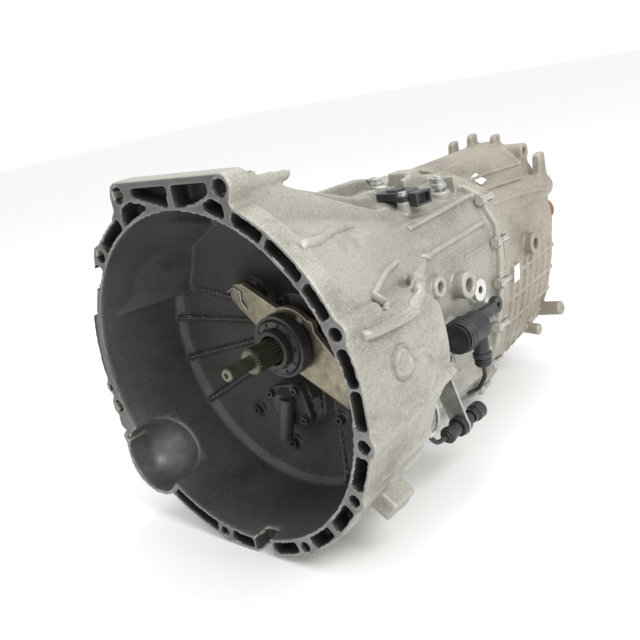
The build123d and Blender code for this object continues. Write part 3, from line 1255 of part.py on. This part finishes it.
save(synchro_rings(), "synchro_rings")
for gear in ("6", "4", "3", "2", "1"):
    save(main_gear(gear, (17 if gear == "6" else MAIN_SHAFT_R) + RUNNING_FIT), f"gear_{gear}")
save(main_gear("r", MAIN_SHAFT_R + RUNNING_FIT), "gear_reverse")
for synchro in SYNCHRO_Y:
    save(shift_sleeve(synchro), f"sleeve_{synchro}")
save(reverse_idler(), "reverse_idler")
save(idler_shaft(), "reverse_idler_shaft")

bearings = {
    "input_bearing_inner": bearing(INPUT_BEARING_R, 17.5, FRONT_WALL_Y),
    "output_bearing_inner": bearing(INPUT_BEARING_R, 17.5, OUTPUT_BEARING_END - BEARING_WIDTH),
    "countershaft_bearing_front": bearing(COUNTER_BEARING_R, 14.0, FRONT_WALL_Y, COUNTER_X, COUNTER_Z),
    "countershaft_bearing_rear": bearing(COUNTER_BEARING_R, 14.0, COUNTER_BEARING_END - BEARING_WIDTH, COUNTER_X, COUNTER_Z),
}
save(group([races for races, _ in bearings.values()]), "bearing_outer_races")
save(group(bearings["input_bearing_inner"][1]), "input_bearing_inner")
save(group(bearings["output_bearing_inner"][1]), "output_bearing_inner")
save(group(bearings["countershaft_bearing_front"][1] + bearings["countershaft_bearing_rear"][1]),
     "countershaft_bearing_inner")

save(fork_rails(), "fork_rails")
save(shift_fork("12", -1, 5.0, 74.0), "fork_12")
save(shift_fork("56", -1, 12.0, 80.0), "fork_56")
save(shift_fork("34", 1, 12.0, 80.0), "fork_34")
save(shift_fork("r", 1, 5.0, 74.0), "fork_reverse")
save(selector_interlock(), "selector_interlock")
save(selector_rod(), "selector_rod")
save(selector_finger(), "selector_finger")
save(selector_joint(), "selector_joint")
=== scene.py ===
"""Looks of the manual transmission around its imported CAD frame."""

import json
import math

import bmesh
import bpy
from mathutils import Matrix, Vector
from mathutils.bvhtree import BVHTree


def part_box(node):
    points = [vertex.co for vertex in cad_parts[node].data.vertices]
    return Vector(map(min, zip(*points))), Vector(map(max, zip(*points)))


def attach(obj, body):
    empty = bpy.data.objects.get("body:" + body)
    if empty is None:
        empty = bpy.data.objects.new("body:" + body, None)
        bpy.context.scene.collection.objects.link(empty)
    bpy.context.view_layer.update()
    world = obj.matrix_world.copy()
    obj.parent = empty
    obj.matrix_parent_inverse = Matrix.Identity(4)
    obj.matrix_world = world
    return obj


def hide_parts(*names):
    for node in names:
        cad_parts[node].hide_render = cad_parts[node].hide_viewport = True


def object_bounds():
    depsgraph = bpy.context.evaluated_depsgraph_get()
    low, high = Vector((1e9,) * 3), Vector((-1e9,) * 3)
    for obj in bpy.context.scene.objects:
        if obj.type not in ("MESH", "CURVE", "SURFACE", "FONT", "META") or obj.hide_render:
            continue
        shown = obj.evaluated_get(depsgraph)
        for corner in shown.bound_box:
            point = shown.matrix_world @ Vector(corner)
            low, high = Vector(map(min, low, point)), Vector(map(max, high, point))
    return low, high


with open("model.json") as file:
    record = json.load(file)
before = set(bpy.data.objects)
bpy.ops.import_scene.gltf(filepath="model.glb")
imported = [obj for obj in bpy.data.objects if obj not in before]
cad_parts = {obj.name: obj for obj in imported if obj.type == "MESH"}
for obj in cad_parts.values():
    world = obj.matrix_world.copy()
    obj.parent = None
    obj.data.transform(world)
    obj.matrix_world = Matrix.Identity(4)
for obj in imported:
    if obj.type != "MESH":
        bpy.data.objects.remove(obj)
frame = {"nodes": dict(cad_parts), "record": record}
nodes = frame["nodes"]
cad_low, cad_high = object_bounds()
scene = bpy.context.scene
MM = 0.001


# ---- camera, light and floor ---------------------------------------------------------------------
camera = bpy.data.objects.new("camera", bpy.data.cameras.new("camera"))
camera.data.lens = 45.0
camera.data.sensor_width = 36.0
camera.data.clip_end = 50.0
right = Vector((0.75197, 0.63210, -0.18705)).normalized()
up = Vector((-0.05643, 0.34443, 0.93711)).normalized()
back = right.cross(up).normalized()
up = back.cross(right)
rotation = Matrix((right, up, back)).transposed().to_4x4()
CAMERA_PLACE = (0.6004, -0.4634, 0.2742)
camera.matrix_world = Matrix.Translation(CAMERA_PLACE) @ rotation
scene.collection.objects.link(camera)
scene.camera = camera

world = bpy.data.worlds.new("studio")
world.use_nodes = True
world.node_tree.nodes["Background"].inputs["Color"].default_value = (1.0, 1.0, 1.0, 1.0)
world.node_tree.nodes["Background"].inputs["Strength"].default_value = 1.0
scene.world = world
scene.view_settings.view_transform = "Standard"

centre = (cad_low + cad_high) / 2


def softbox(name, offset, width, height, watts):
    """An area light at centre + offset that faces the object."""
    light = bpy.data.lights.new(name, "AREA")
    light.shape = "RECTANGLE"
    light.size = width
    light.size_y = height
    light.energy = watts
    item = bpy.data.objects.new(name, light)
    item.location = centre + Vector(offset)
    item.rotation_mode = "QUATERNION"
    item.rotation_quaternion = (-Vector(offset)).to_track_quat("-Z", "Y")
    scene.collection.objects.link(item)


softbox("key_light", (1.5, -0.5, 1.3), 0.9, 0.7, 26.0)
softbox("top_light", (-0.3, 0.5, 1.9), 1.0, 0.9, 12.0)


def new_mesh_object(name, verts, faces):
    mesh = bpy.data.meshes.new(name)
    mesh.from_pydata([tuple(v) for v in verts], [], faces)
    mesh.update()
    item = bpy.data.objects.new(name, mesh)
    scene.collection.objects.link(item)
    return item


floor_z = cad_low.z - 0.0005
FLOOR_HALF = 9
floor_corners = [(x * FLOOR_HALF, y * FLOOR_HALF, floor_z) for x, y in ((-1, -1), (1, -1), (1, 1), (-1, 1))]
floor = new_mesh_object("floor", floor_corners, [(0, 1, 2, 3)])


# ---- materials ------------------------------------------------------------------------------------
class Nodes:
    """Small helper for writing a material's nodes."""

    def __init__(self, name, base, metallic, roughness):
        self.material = bpy.data.materials.new(name)
        self.material.use_nodes = True
        self.material.diffuse_color = (*base, 1.0)
        self.tree = self.material.node_tree
        self.shader = self.tree.nodes["Principled BSDF"]
        self.shader.inputs["Base Color"].default_value = (*base, 1.0)
        self.shader.inputs["Metallic"].default_value = metallic
        self.shader.inputs["Roughness"].default_value = roughness
        self.place = self.tree.nodes.new("ShaderNodeTexCoord").outputs["Object"]
        self.point = self.tree.nodes.new("ShaderNodeNewGeometry").outputs["Pointiness"]
        self.last_bump = None

    def link(self, source, target):
        self.tree.links.new(source, target)

    def noise(self, scale, detail=4.0, rough=0.55, stretch=None):
        node = self.tree.nodes.new("ShaderNodeTexNoise")
        node.inputs["Scale"].default_value = scale
        node.inputs["Detail"].default_value = detail
        node.inputs["Roughness"].default_value = rough
        if stretch is None:
            self.link(self.place, node.inputs["Vector"])
        else:
            mapping = self.tree.nodes.new("ShaderNodeMapping")
            mapping.inputs["Scale"].default_value = stretch
            self.link(self.place, mapping.inputs["Vector"])
            self.link(mapping.outputs["Vector"], node.inputs["Vector"])
        return node.outputs["Fac"]

    def ramp(self, source, stops):
        node = self.tree.nodes.new("ShaderNodeValToRGB")
        ramp = node.color_ramp
        while len(ramp.elements) < len(stops):
            ramp.elements.new(0.5)
        for element, (position, value) in zip(ramp.elements, stops):
            element.position = position
            element.color = (*value, 1.0) if isinstance(value, tuple) else (value, value, value, 1.0)
        self.link(source, node.inputs["Fac"])
        return node.outputs["Color"]

    def mix(self, factor, first, second, blend="MIX"):
        node = self.tree.nodes.new("ShaderNodeMix")
        node.data_type = "RGBA"
        node.blend_type = blend
        if isinstance(factor, float):
            node.inputs[0].default_value = factor
        else:
            self.link(factor, node.inputs[0])
        for value, socket in ((first, node.inputs[6]), (second, node.inputs[7])):
            if isinstance(value, tuple):
                socket.default_value = (*value, 1.0)
            else:
                self.link(value, socket)
        return node.outputs[2]

    def bump(self, source, strength, distance):
        node = self.tree.nodes.new("ShaderNodeBump")
        node.inputs["Strength"].default_value = strength
        node.inputs["Distance"].default_value = distance
        self.link(source, node.inputs["Height"])
        if self.last_bump is not None:
            self.link(self.last_bump, node.inputs["Normal"])
        self.last_bump = node.outputs["Normal"]

    def done(self, colour=None, rough=None):
        if colour is not None:
            self.link(colour, self.shader.inputs["Base Color"])
        if rough is not None:
            self.link(rough, self.shader.inputs["Roughness"])
        if self.last_bump is not None:
            self.link(self.last_bump, self.shader.inputs["Normal"])
        return self.material


def cast_metal(name, pale, dark, metallic=0.35, grain=1.0, soil=0.55):
    """Sand- or die-cast alloy: speckled, faintly stained, bright on its edges, with painted shade in its corners
    broken into grime-like patches.
    """
    n = Nodes(name, pale, metallic, 0.5)
    stain = n.ramp(n.noise(7.0, 5.0, 0.6), [(0.42, 0.0), (0.70, 0.8)])
    colour = n.mix(stain, pale, dark)
    smear = n.ramp(n.noise(19.0, 7.0, 0.7, (1.0, 0.55, 1.0)), [(0.50, 0.0), (0.66, soil)])
    colour = n.mix(smear, colour, tuple(c * 0.62 for c in dark))
    fleck = n.ramp(n.noise(520.0, 2.0, 0.5), [(0.56, 0.0), (0.70, 0.55)])
    colour = n.mix(fleck, colour, tuple(min(1.0, c * 1.45) for c in pale))
    pit = n.ramp(n.noise(400.0, 3.0, 0.6), [(0.32, 0.5), (0.44, 0.0)])
    colour = n.mix(pit, colour, tuple(c * 0.5 for c in dark))
    edge = n.ramp(n.point, [(0.505, 0.0), (0.60, 0.7)])
    colour = n.mix(edge, colour, tuple(min(1.0, c * 1.3) for c in pale))
    # Painted shade: concave corners (low pointiness) are darkened, broken into patches by the grime noise.
    corner = n.ramp(n.point, [(0.42, 0.85), (0.492, 0.0)])
    grime = n.ramp(n.noise(26.0, 5.0), [(0.40, 0.25), (0.62, 1.0)])
    colour = n.mix(n.mix(1.0, corner, grime, "MULTIPLY"), colour, tuple(c * 0.4 for c in dark))
    n.bump(n.noise(60.0, 4.0), 0.22, 0.0010)
    n.bump(n.noise(430.0, 3.0), 0.5 * grain, 0.0006)
    return n.done(colour, n.ramp(n.noise(30.0, 4.0), [(0.3, 0.42), (0.7, 0.62)]))


def steel(name, base, roughness=0.35, metallic=0.9, wear=1.3, grime=0.35):
    """Worked steel: fine scratches, a little staining, bright edges."""
    n = Nodes(name, base, metallic, roughness)
    stain = n.ramp(n.noise(55.0, 5.0, 0.65), [(0.40, 0.0), (0.72, 1.0)])
    colour = n.mix(stain, base, tuple(c * grime + 0.02 for c in base))
    edge = n.ramp(n.point, [(0.51, 0.0), (0.60, 1.0)])
    colour = n.mix(edge, colour, tuple(min(1.0, c * wear) for c in base))
    n.bump(n.noise(260.0, 3.0, 0.6, (1.0, 0.12, 1.0)), 0.18, 0.0003)
    polished = max(0.05, roughness - 0.10)
    return n.done(colour, n.ramp(n.noise(90.0, 4.0), [(0.3, polished), (0.7, roughness + 0.14)]))


def plastic(name, base, roughness=0.42):
    """Moulded plastic with a fine texture and dusty patches."""
    n = Nodes(name, base, 0.0, roughness)
    dust = n.ramp(n.noise(38.0, 5.0, 0.65), [(0.50, 0.0), (0.80, 1.0)])
    colour = n.mix(dust, base, tuple(c + 0.035 for c in base))
    colour = n.mix(n.ramp(n.point, [(0.51, 0.0), (0.62, 1.0)]), colour, tuple(c + 0.06 for c in base))
    n.bump(n.noise(900.0, 2.0), 0.12, 0.0002)
    return n.done(colour, n.ramp(n.noise(60.0, 3.0), [(0.3, roughness - 0.08), (0.7, roughness + 0.12)]))


CAST = cast_metal("cast_front", (0.36, 0.35, 0.305), (0.23, 0.215, 0.18))
CAST_REAR = cast_metal("cast_rear", (0.33, 0.30, 0.25), (0.21, 0.185, 0.145))
# Painted shade: a much darker copy of the cast alloy for the bell's inner walls.
CAST_INSIDE_SHADE = cast_metal("cast_bell_inside_shade", (0.105, 0.105, 0.10), (0.055, 0.054, 0.052), 0.35, 0.4)
# Painted shade: a near-black copy of the cast alloy for the flange's ring pockets and the bell's back wall.
CAST_SHADE = cast_metal("cast_pocket_shade", (0.042, 0.040, 0.038), (0.024, 0.023, 0.021), 0.2, 0.6)
MILLED = steel("milled_pocket", (0.16, 0.16, 0.155), 0.46, 0.6, 1.5, 0.5)
ALLOY = steel("turned_alloy", (0.42, 0.42, 0.42), 0.38, 0.8)
GEAR = steel("gear_steel", (0.42, 0.42, 0.43), 0.28)
SHAFT = steel("oiled_steel", (0.17, 0.165, 0.12), 0.38, 0.75)
ZINC = steel("zinc_steel", (0.50, 0.50, 0.48), 0.40)
FORK = steel("passivated_steel", (0.42, 0.37, 0.27), 0.40, 0.75, 1.5)
BLACK = steel("black_oxide", (0.030, 0.030, 0.031), 0.36, 0.4, 2.6, 0.6)
BRASS = steel("brass", (0.55, 0.42, 0.22), 0.35)
PLASTIC = plastic("black_plastic", (0.016, 0.016, 0.017))
RUBBER = plastic("black_rubber", (0.012, 0.012, 0.012), 0.62)


def machined_face():
    """Milled engine face: fine tool marks, and painted shading that makes it darker towards its upper left."""
    n = Nodes("machined_flange", (0.17, 0.17, 0.165), 0.55, 0.42)
    # Painted shade and light: a gradient across the face, darker to the upper left and lighter to the lower right.
    across = n.tree.nodes.new("ShaderNodeVectorMath")
    across.operation = "DOT_PRODUCT"
    across.inputs[1].default_value = (1.4, 0.0, -1.4)
    n.link(n.place, across.inputs[0])
    shade = n.ramp(across.outputs["Value"], [(0.0, (0.13, 0.13, 0.127)), (0.42, (0.25, 0.25, 0.24))])
    stain = n.ramp(n.noise(34.0, 6.0, 0.65), [(0.42, 0.0), (0.68, 0.8)])
    colour = n.mix(stain, shade, (0.085, 0.083, 0.078))
    colour = n.mix(n.ramp(n.point, [(0.51, 0.0), (0.60, 1.0)]), colour, (0.42, 0.41, 0.39))
    n.bump(n.noise(300.0, 3.0, 0.6, (1.0, 1.0, 0.1)), 0.2, 0.0003)
    return n.done(colour, n.ramp(n.noise(90.0, 4.0), [(0.3, 0.34), (0.7, 0.56)]))


def paper():
    """Plain white sticker, a little yellowed and scuffed."""
    n = Nodes("blank_sticker", (0.80, 0.79, 0.75), 0.0, 0.5)
    scuff = n.ramp(n.noise(160.0, 6.0, 0.7), [(0.55, 0.0), (0.70, 0.8)])
    colour = n.mix(scuff, (0.80, 0.79, 0.75), (0.52, 0.49, 0.43))
    n.bump(n.noise(500.0, 2.0), 0.1, 0.0002)
    return n.done(colour, n.ramp(n.noise(60.0, 3.0), [(0.3, 0.40), (0.7, 0.62)]))


def rusty_iron():
    """Cast iron with an uneven skin of brown rust."""
    n = Nodes("rusty_iron", (0.20, 0.10, 0.06), 0.35, 0.7)
    browns = [(0.36, (0.10, 0.045, 0.025)), (0.52, (0.30, 0.13, 0.06)), (0.72, (0.42, 0.22, 0.11))]
    rust = n.ramp(n.noise(75.0, 6.0, 0.7), browns)
    bare = n.ramp(n.noise(28.0, 5.0, 0.65), [(0.58, 0.0), (0.74, 1.0)])
    colour = n.mix(bare, rust, (0.18, 0.16, 0.15))
    n.bump(n.noise(420.0, 4.0, 0.65), 0.5, 0.0006)
    return n.done(colour, n.ramp(n.noise(120.0, 4.0), [(0.3, 0.55), (0.7, 0.88)]))


RUST = rusty_iron()
MACHINED = machined_face()
PAPER = paper()
# Painted shade: a near-black copy of the cast alloy for pieces deep inside the bell.
CAST_DEEP_SHADE = cast_metal("cast_deep_shade", (0.075, 0.072, 0.066), (0.040, 0.038, 0.035), 0.3, 0.6)
SLOTS = {
    "cast_front": CAST, "cast_rear": CAST_REAR, "machined": ALLOY, "gear_steel": GEAR, "shaft_steel": SHAFT,
    "zinc_steel": ZINC, "fork_steel": FORK, "black_metal": BLACK, "rust_iron": RUST, "brass": BRASS,
    "black_plastic": PLASTIC, "rubber": RUBBER,
}
# Painted shade: pieces deep inside the bell get darker looks than the rest of their kind.
DARKER_IN_SHADE = {"countershaft_cover": CAST_DEEP_SHADE, "guide_tube": CAST_DEEP_SHADE, "bell_bolts": BLACK}
slot_of = {s["node"]: s["material_slot"] for s in frame["record"]["subparts"]}
look_of = {node: DARKER_IN_SHADE.get(node, SLOTS[slot]) for node, slot in slot_of.items()}
for node, item in nodes.items():
    item.data.materials.clear()
    item.data.materials.append(look_of[node])

floor_look = Nodes("floor", (0.93, 0.93, 0.93), 0.0, 0.6)
floor_tone = floor_look.ramp(floor_look.noise(3.0), [(0.3, 0.925), (0.7, 0.935)])
floor.data.materials.append(floor_look.done(floor_tone))


# ---- softened copies of the cast, forged and moulded nodes ---------------------------------------
def evaluated_copy(item, name):
    graph = bpy.context.evaluated_depsgraph_get()
    graph.update()
    mesh = bpy.data.meshes.new_from_object(item.evaluated_get(graph))
    mesh.name = name
    return mesh


def softened(node, body, voxel, most_faces, smoothing=3):
    """A copy of a CAD node whose edges are rounded as a casting's or moulding's are."""
    name = node + "_skin"
    item = bpy.data.objects.new(name, nodes[node].data.copy())
    scene.collection.objects.link(item)
    work = bmesh.new()
    work.from_mesh(item.data)
    bmesh.ops.remove_doubles(work, verts=work.verts, dist=1e-6)
    work.to_mesh(item.data)
    work.free()
    remesh = item.modifiers.new("remesh", "REMESH")
    remesh.mode = "VOXEL"
    remesh.voxel_size = voxel
    smooth = item.modifiers.new("smooth", "SMOOTH")
    smooth.factor = 0.5
    smooth.iterations = smoothing
    mesh = evaluated_copy(item, name)
    item.modifiers.clear()
    item.data = mesh
    triangles = 2 * len(mesh.polygons)
    if triangles > most_faces:
        decimate = item.modifiers.new("decimate", "DECIMATE")
        decimate.ratio = most_faces / triangles
        mesh = evaluated_copy(item, name)
        item.modifiers.clear()
        item.data = mesh
    for polygon in mesh.polygons:
        polygon.use_smooth = True
    mesh.materials.clear()
    mesh.materials.append(look_of[node])
    weighted = item.modifiers.new("weighted", "WEIGHTED_NORMAL")
    weighted.weight = 60
    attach(item, body)
    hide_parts(node)
    return item


front = softened("front_case", "casing", 2.1 * MM, 190000, 3)
rear = softened("rear_case", "casing", 1.9 * MM, 150000, 3)
for node, body, voxel, most in (
    ("release_fork", "release_lever", 0.9, 50000), ("countershaft_cover", "casing", 0.8, 40000),
    ("output_flange", "output", 0.9, 50000), ("position_sensor", "casing", 0.5, 50000),
    ("reverse_light_switch", "casing", 0.7, 50000), ("slave_cylinder", "casing", 0.8, 30000),
    ("line_bracket", "casing", 0.5, 30000), ("quick_coupling", "casing", 0.5, 30000),
    ("coupling_dust_cap", "casing", 0.5, 25000), ("line_grommet", "casing", 0.5, 25000),
    ("breather_cap", "casing", 0.45, 20000), ("switch_plug", "casing", 0.45, 20000),
    ("guide_tube", "casing", 0.9, 30000),
):
    softened(node, body, voxel * MM, most, 2)

# The bell's inside is painted darker than the outside as painted shade, with near-black painted shade in its ring
# pockets and on its back wall, and the engine face is machined.
for look in (CAST_INSIDE_SHADE, MACHINED, CAST_SHADE, MILLED):
    front.data.materials.append(look)
bell_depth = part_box("guide_tube")[1].y
MOUTH_R = 0.1765             # just outside the bell's inner wall at its mouth
FACE_DEPTH = 0.0012          # anything closer to the engine than this is the milled face
POCKET_RING = (0.1785, 0.1918)
POCKET_DEPTH = 0.0235
STARTER_CENTRE = (-0.144, -0.114)
STARTER_R = 0.0408
STARTER_DEPTH = 0.060
INSIDE, FACE, SHADE, STARTER = 1, 2, 3, 4
for polygon in front.data.polygons:
    spot = polygon.center
    normal = polygon.normal
    radius = math.hypot(spot.x, spot.z)
    outward = (normal.x * spot.x + normal.z * spot.z) / max(radius, 1e-6)
    hood = abs(spot.x) < 0.082 and 0.160 < spot.z < 0.2015
    from_starter = math.hypot(spot.x - STARTER_CENTRE[0], spot.z - STARTER_CENTRE[1])
    in_pocket = POCKET_RING[0] < radius < POCKET_RING[1] or (hood and radius > MOUTH_R)
    in_bell = spot.y < bell_depth and radius < MOUTH_R
    off_the_rim = radius < 0.172
    if spot.y < FACE_DEPTH and normal.y < -0.75:
        polygon.material_index = FACE
    elif from_starter < STARTER_R and spot.y < STARTER_DEPTH:
        polygon.material_index = STARTER
    # Painted shade: the flange's ring pockets and the bell's back wall get the near-black shade look.
    elif spot.y < POCKET_DEPTH and in_pocket:
        polygon.material_index = SHADE
    elif in_bell and off_the_rim and normal.y < -0.8:
        polygon.material_index = SHADE
    # Painted shade: the bell's inner walls get the darker inside look.
    elif in_bell and (outward < -0.12 or (normal.y < -0.25 and off_the_rim)):
        polygon.material_index = INSIDE

# ---- cast ridges and the medallion, laid on the casings' skins -----------------------------------
def skin_tree(item):
    return BVHTree.FromObject(item, bpy.context.evaluated_depsgraph_get())


def closed_strip(sections):
    """Faces of a strip whose cross sections are closed rings of equal size, with both ends capped."""
    count = len(sections[0])
    verts = [point for section in sections for point in section]
    faces = []
    for row in range(len(sections) - 1):
        for k in range(count):
            a = row * count + k
            b = row * count + (k + 1) % count
            faces.append((a, b, b + count, a + count))
    faces.append(tuple(reversed(range(count))))
    last = (len(sections) - 1) * count
    faces.append(tuple(range(last, last + count)))
    return verts, faces


def ridge(name, skin, look, points_mm, width, height):
    """A rounded cast rib that follows a skin along a line of points, and runs out at both ends."""
    shell = skin_tree(skin)
    stops = [Vector(point) * MM for point in points_mm]
    line = []
    for first, second in zip(stops, stops[1:]):
        steps = max(2, round((second - first).length / (3 * MM)))
        line += [first.lerp(second, k / steps) for k in range(steps)]
    line.append(stops[-1])
    for _ in range(3):
        line = [line[0]] + [(a + 2 * b + c) / 4 for a, b, c in zip(line, line[1:], line[2:])] + [line[-1]]
    hits = [shell.find_nearest(point) for point in line]
    spots = [hit[0] for hit in hits]
    normals = [hit[1] for hit in hits]
    for _ in range(6):
        middle = [(a + b + c).normalized() for a, b, c in zip(normals, normals[1:], normals[2:])]
        normals = [normals[0]] + middle + [normals[-1]]
    sections = []
    last = len(spots) - 1
    for k, (spot, out) in enumerate(zip(spots, normals)):
        along = spots[min(k + 1, last)] - spots[max(k - 1, 0)]
        side = out.cross(along).normalized()
        run_out = min(1.0, 0.25 + min(k, last - k) / 3)
        ring = [spot + (side * width / 2 * math.cos(a) + out * height * run_out * math.sin(a)) * MM
                for a in [math.pi * i / 8 for i in range(9)]]
        ring += [spot - (side * width / 2 + out * 1.6) * MM, spot + (side * width / 2 - out * 1.6) * MM]
        sections.append(ring)
    item = new_mesh_object(name, *closed_strip(sections))
    for polygon in item.data.polygons:
        polygon.use_smooth = len(polygon.vertices) == 4
    item.data.materials.append(look)
    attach(item, "casing")


# Name, points in millimetres, width and height of each ridge.
FRONT_RIDGES = [
    ("rib_lobe", [(185, 20, 56), (183, 62, 52), (181, 92, 51.5), (174, 122, 58), (160, 150, 60)], 10, 8),
    ("rib_lobe_upper", [(176, 70, 74), (165, 100, 82), (150, 128, 84), (128, 160, 78)], 7, 5),
    ("rib_shoulder", [(139.5, 17, 136), (134, 46, 132.5), (113.5, 91, 129), (98, 139, 122)], 9, 5),
    ("rib_deck_edge", [(101, 226, 94), (101, 262, 96), (101, 295, 97), (101, 360, 99)], 6, 4),
    ("rib_flank", [(119, 215, 62), (116, 262, 64), (115.5, 301, 64.5), (117, 362, 68)], 7, 5),
    ("rib_flank_low", [(114, 248, 38), (115, 300, 40), (116, 362, 40)], 4, 2),
]
REAR_RIDGES = [
    ("rib_rear_upper", [(86, 405, 93), (85, 460, 90), (84, 510, 86), (88, 545, 82)], 5, 2.6),
    ("rib_rear_side", [(109, 400, 79), (109, 450, 76), (108, 500, 71), (106, 548, 64)], 5, 2.6),
    ("rib_rear_top", [(70, 400, 107), (71, 450, 106.5), (72, 500, 103), (73, 540, 100)], 5, 2.6),
]
for name, points, width, height in FRONT_RIDGES:
    ridge(name, front, CAST, points, width, height)
for name, points, width, height in REAR_RIDGES:
    ridge(name, rear, CAST_REAR, points, width, height)


def medallion(centre_mm, radius):
    """A plain round medallion in low relief on the lobe."""
    shell = skin_tree(front)
    centre, out, _, _ = shell.find_nearest(Vector(centre_mm) * MM)
    side = Vector((0, 1, 0)).cross(out).normalized()
    rise = out.cross(side)
    # Share of the radius and height of each step, from the raised middle out to the sunken edge.
    steps = [(0.45, 1.2), (0.52, 0.3), (0.74, 0.3), (0.80, 2.2), (0.94, 2.2), (1.0, 0.2), (1.02, -1.5)]
    sections = []
    for share, lift in steps:
        ring = []
        for k in range(48):
            a = 2 * math.pi * k / 48
            spot = centre + (side * math.cos(a) + rise * math.sin(a)) * radius * share * MM
            hit = shell.ray_cast(spot + out * 12 * MM, -out)[0] or spot
            ring.append(hit + out * lift * MM)
        sections.append(ring)
    verts, faces = closed_strip(sections)
    item = new_mesh_object("medallion", verts, faces)
    item.data.materials.append(CAST)
    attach(item, "casing")


medallion((189.6, 65.6, 15.0), 17.5)


# ---- two blank stickers on the rear case ---------------------------------------------------------
def sticker(name, centre_mm, facing, along, width, height):
    """A thin sheet laid on the rear case's skin, width along one direction and height across it."""
    shell = skin_tree(rear)
    out = Vector(facing).normalized()
    side = (Vector(along) - Vector(along).dot(out) * out).normalized()
    rise = out.cross(side)
    columns, rows = 24, 16
    stride = columns + 1
    layer = stride * (rows + 1)
    starts = []
    for j in range(rows + 1):
        for i in range(columns + 1):
            across = (i / columns - 0.5) * width * side + (j / rows - 0.5) * height * rise
            starts.append((Vector(centre_mm) + across + 25 * out) * MM)
    bare = [-(shell.ray_cast(start, -out)[3]) for start in starts]
    # The sheet is pulled taut, so it bridges the hollows between the casting's bumps.
    taut = list(bare)
    for _ in range(150):
        for k in range(layer):
            i, j = k % stride, k // stride
            near = [taut[k + step] for step, fits in
                    ((-1, i > 0), (1, i < columns), (-stride, j > 0), (stride, j < rows)) if fits]
            taut[k] = max(bare[k], sum(near) / len(near))
    verts = []
    for lift in (0.35, 0.05):
        verts += [start + out * (depth + lift * MM) for start, depth in zip(starts, taut)]
    faces = []
    for j in range(rows):
        for i in range(columns):
            k = j * stride + i
            faces.append((k, k + 1, k + stride + 1, k + stride))
            faces.append((k + layer, k + layer + stride, k + layer + stride + 1, k + layer + 1))
    rim = list(range(columns)) + [j * stride + columns for j in range(rows)]
    rim += [rows * stride + i for i in range(columns, 0, -1)] + [j * stride for j in range(rows, 0, -1)]
    for here, following in zip(rim, rim[1:] + rim[:1]):
        faces.append((here, here + layer, following + layer, following))
    item = new_mesh_object(name, verts, faces)
    item.data.materials.append(PAPER)
    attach(item, "casing")


sticker("sticker_upper", (72, 434, 103), (0.45, -0.1, 0.88), (1, 0.2, -0.4), 16, 17)
sticker("sticker_side", (111.5, 430, -19), (1, 0.05, -0.1), (0, 1, 0), 18, 22)

# ---- small CAD nodes keep their shape and get a fine edge ----------------------------------------
for node in ("bell_bolts", "case_joint_bolts", "screw_plugs", "position_sensor_screws", "input_shaft",
             "release_bearing_sleeve", "release_bearing_ring", "flange_nut", "selector_joint", "release_fork_stud"):
    bevel = nodes[node].modifiers.new("edge", "BEVEL")
    bevel.width = 0.35 * MM
    bevel.segments = 2
    bevel.limit_method = "ANGLE"
    bevel.angle_limit = math.radians(35)
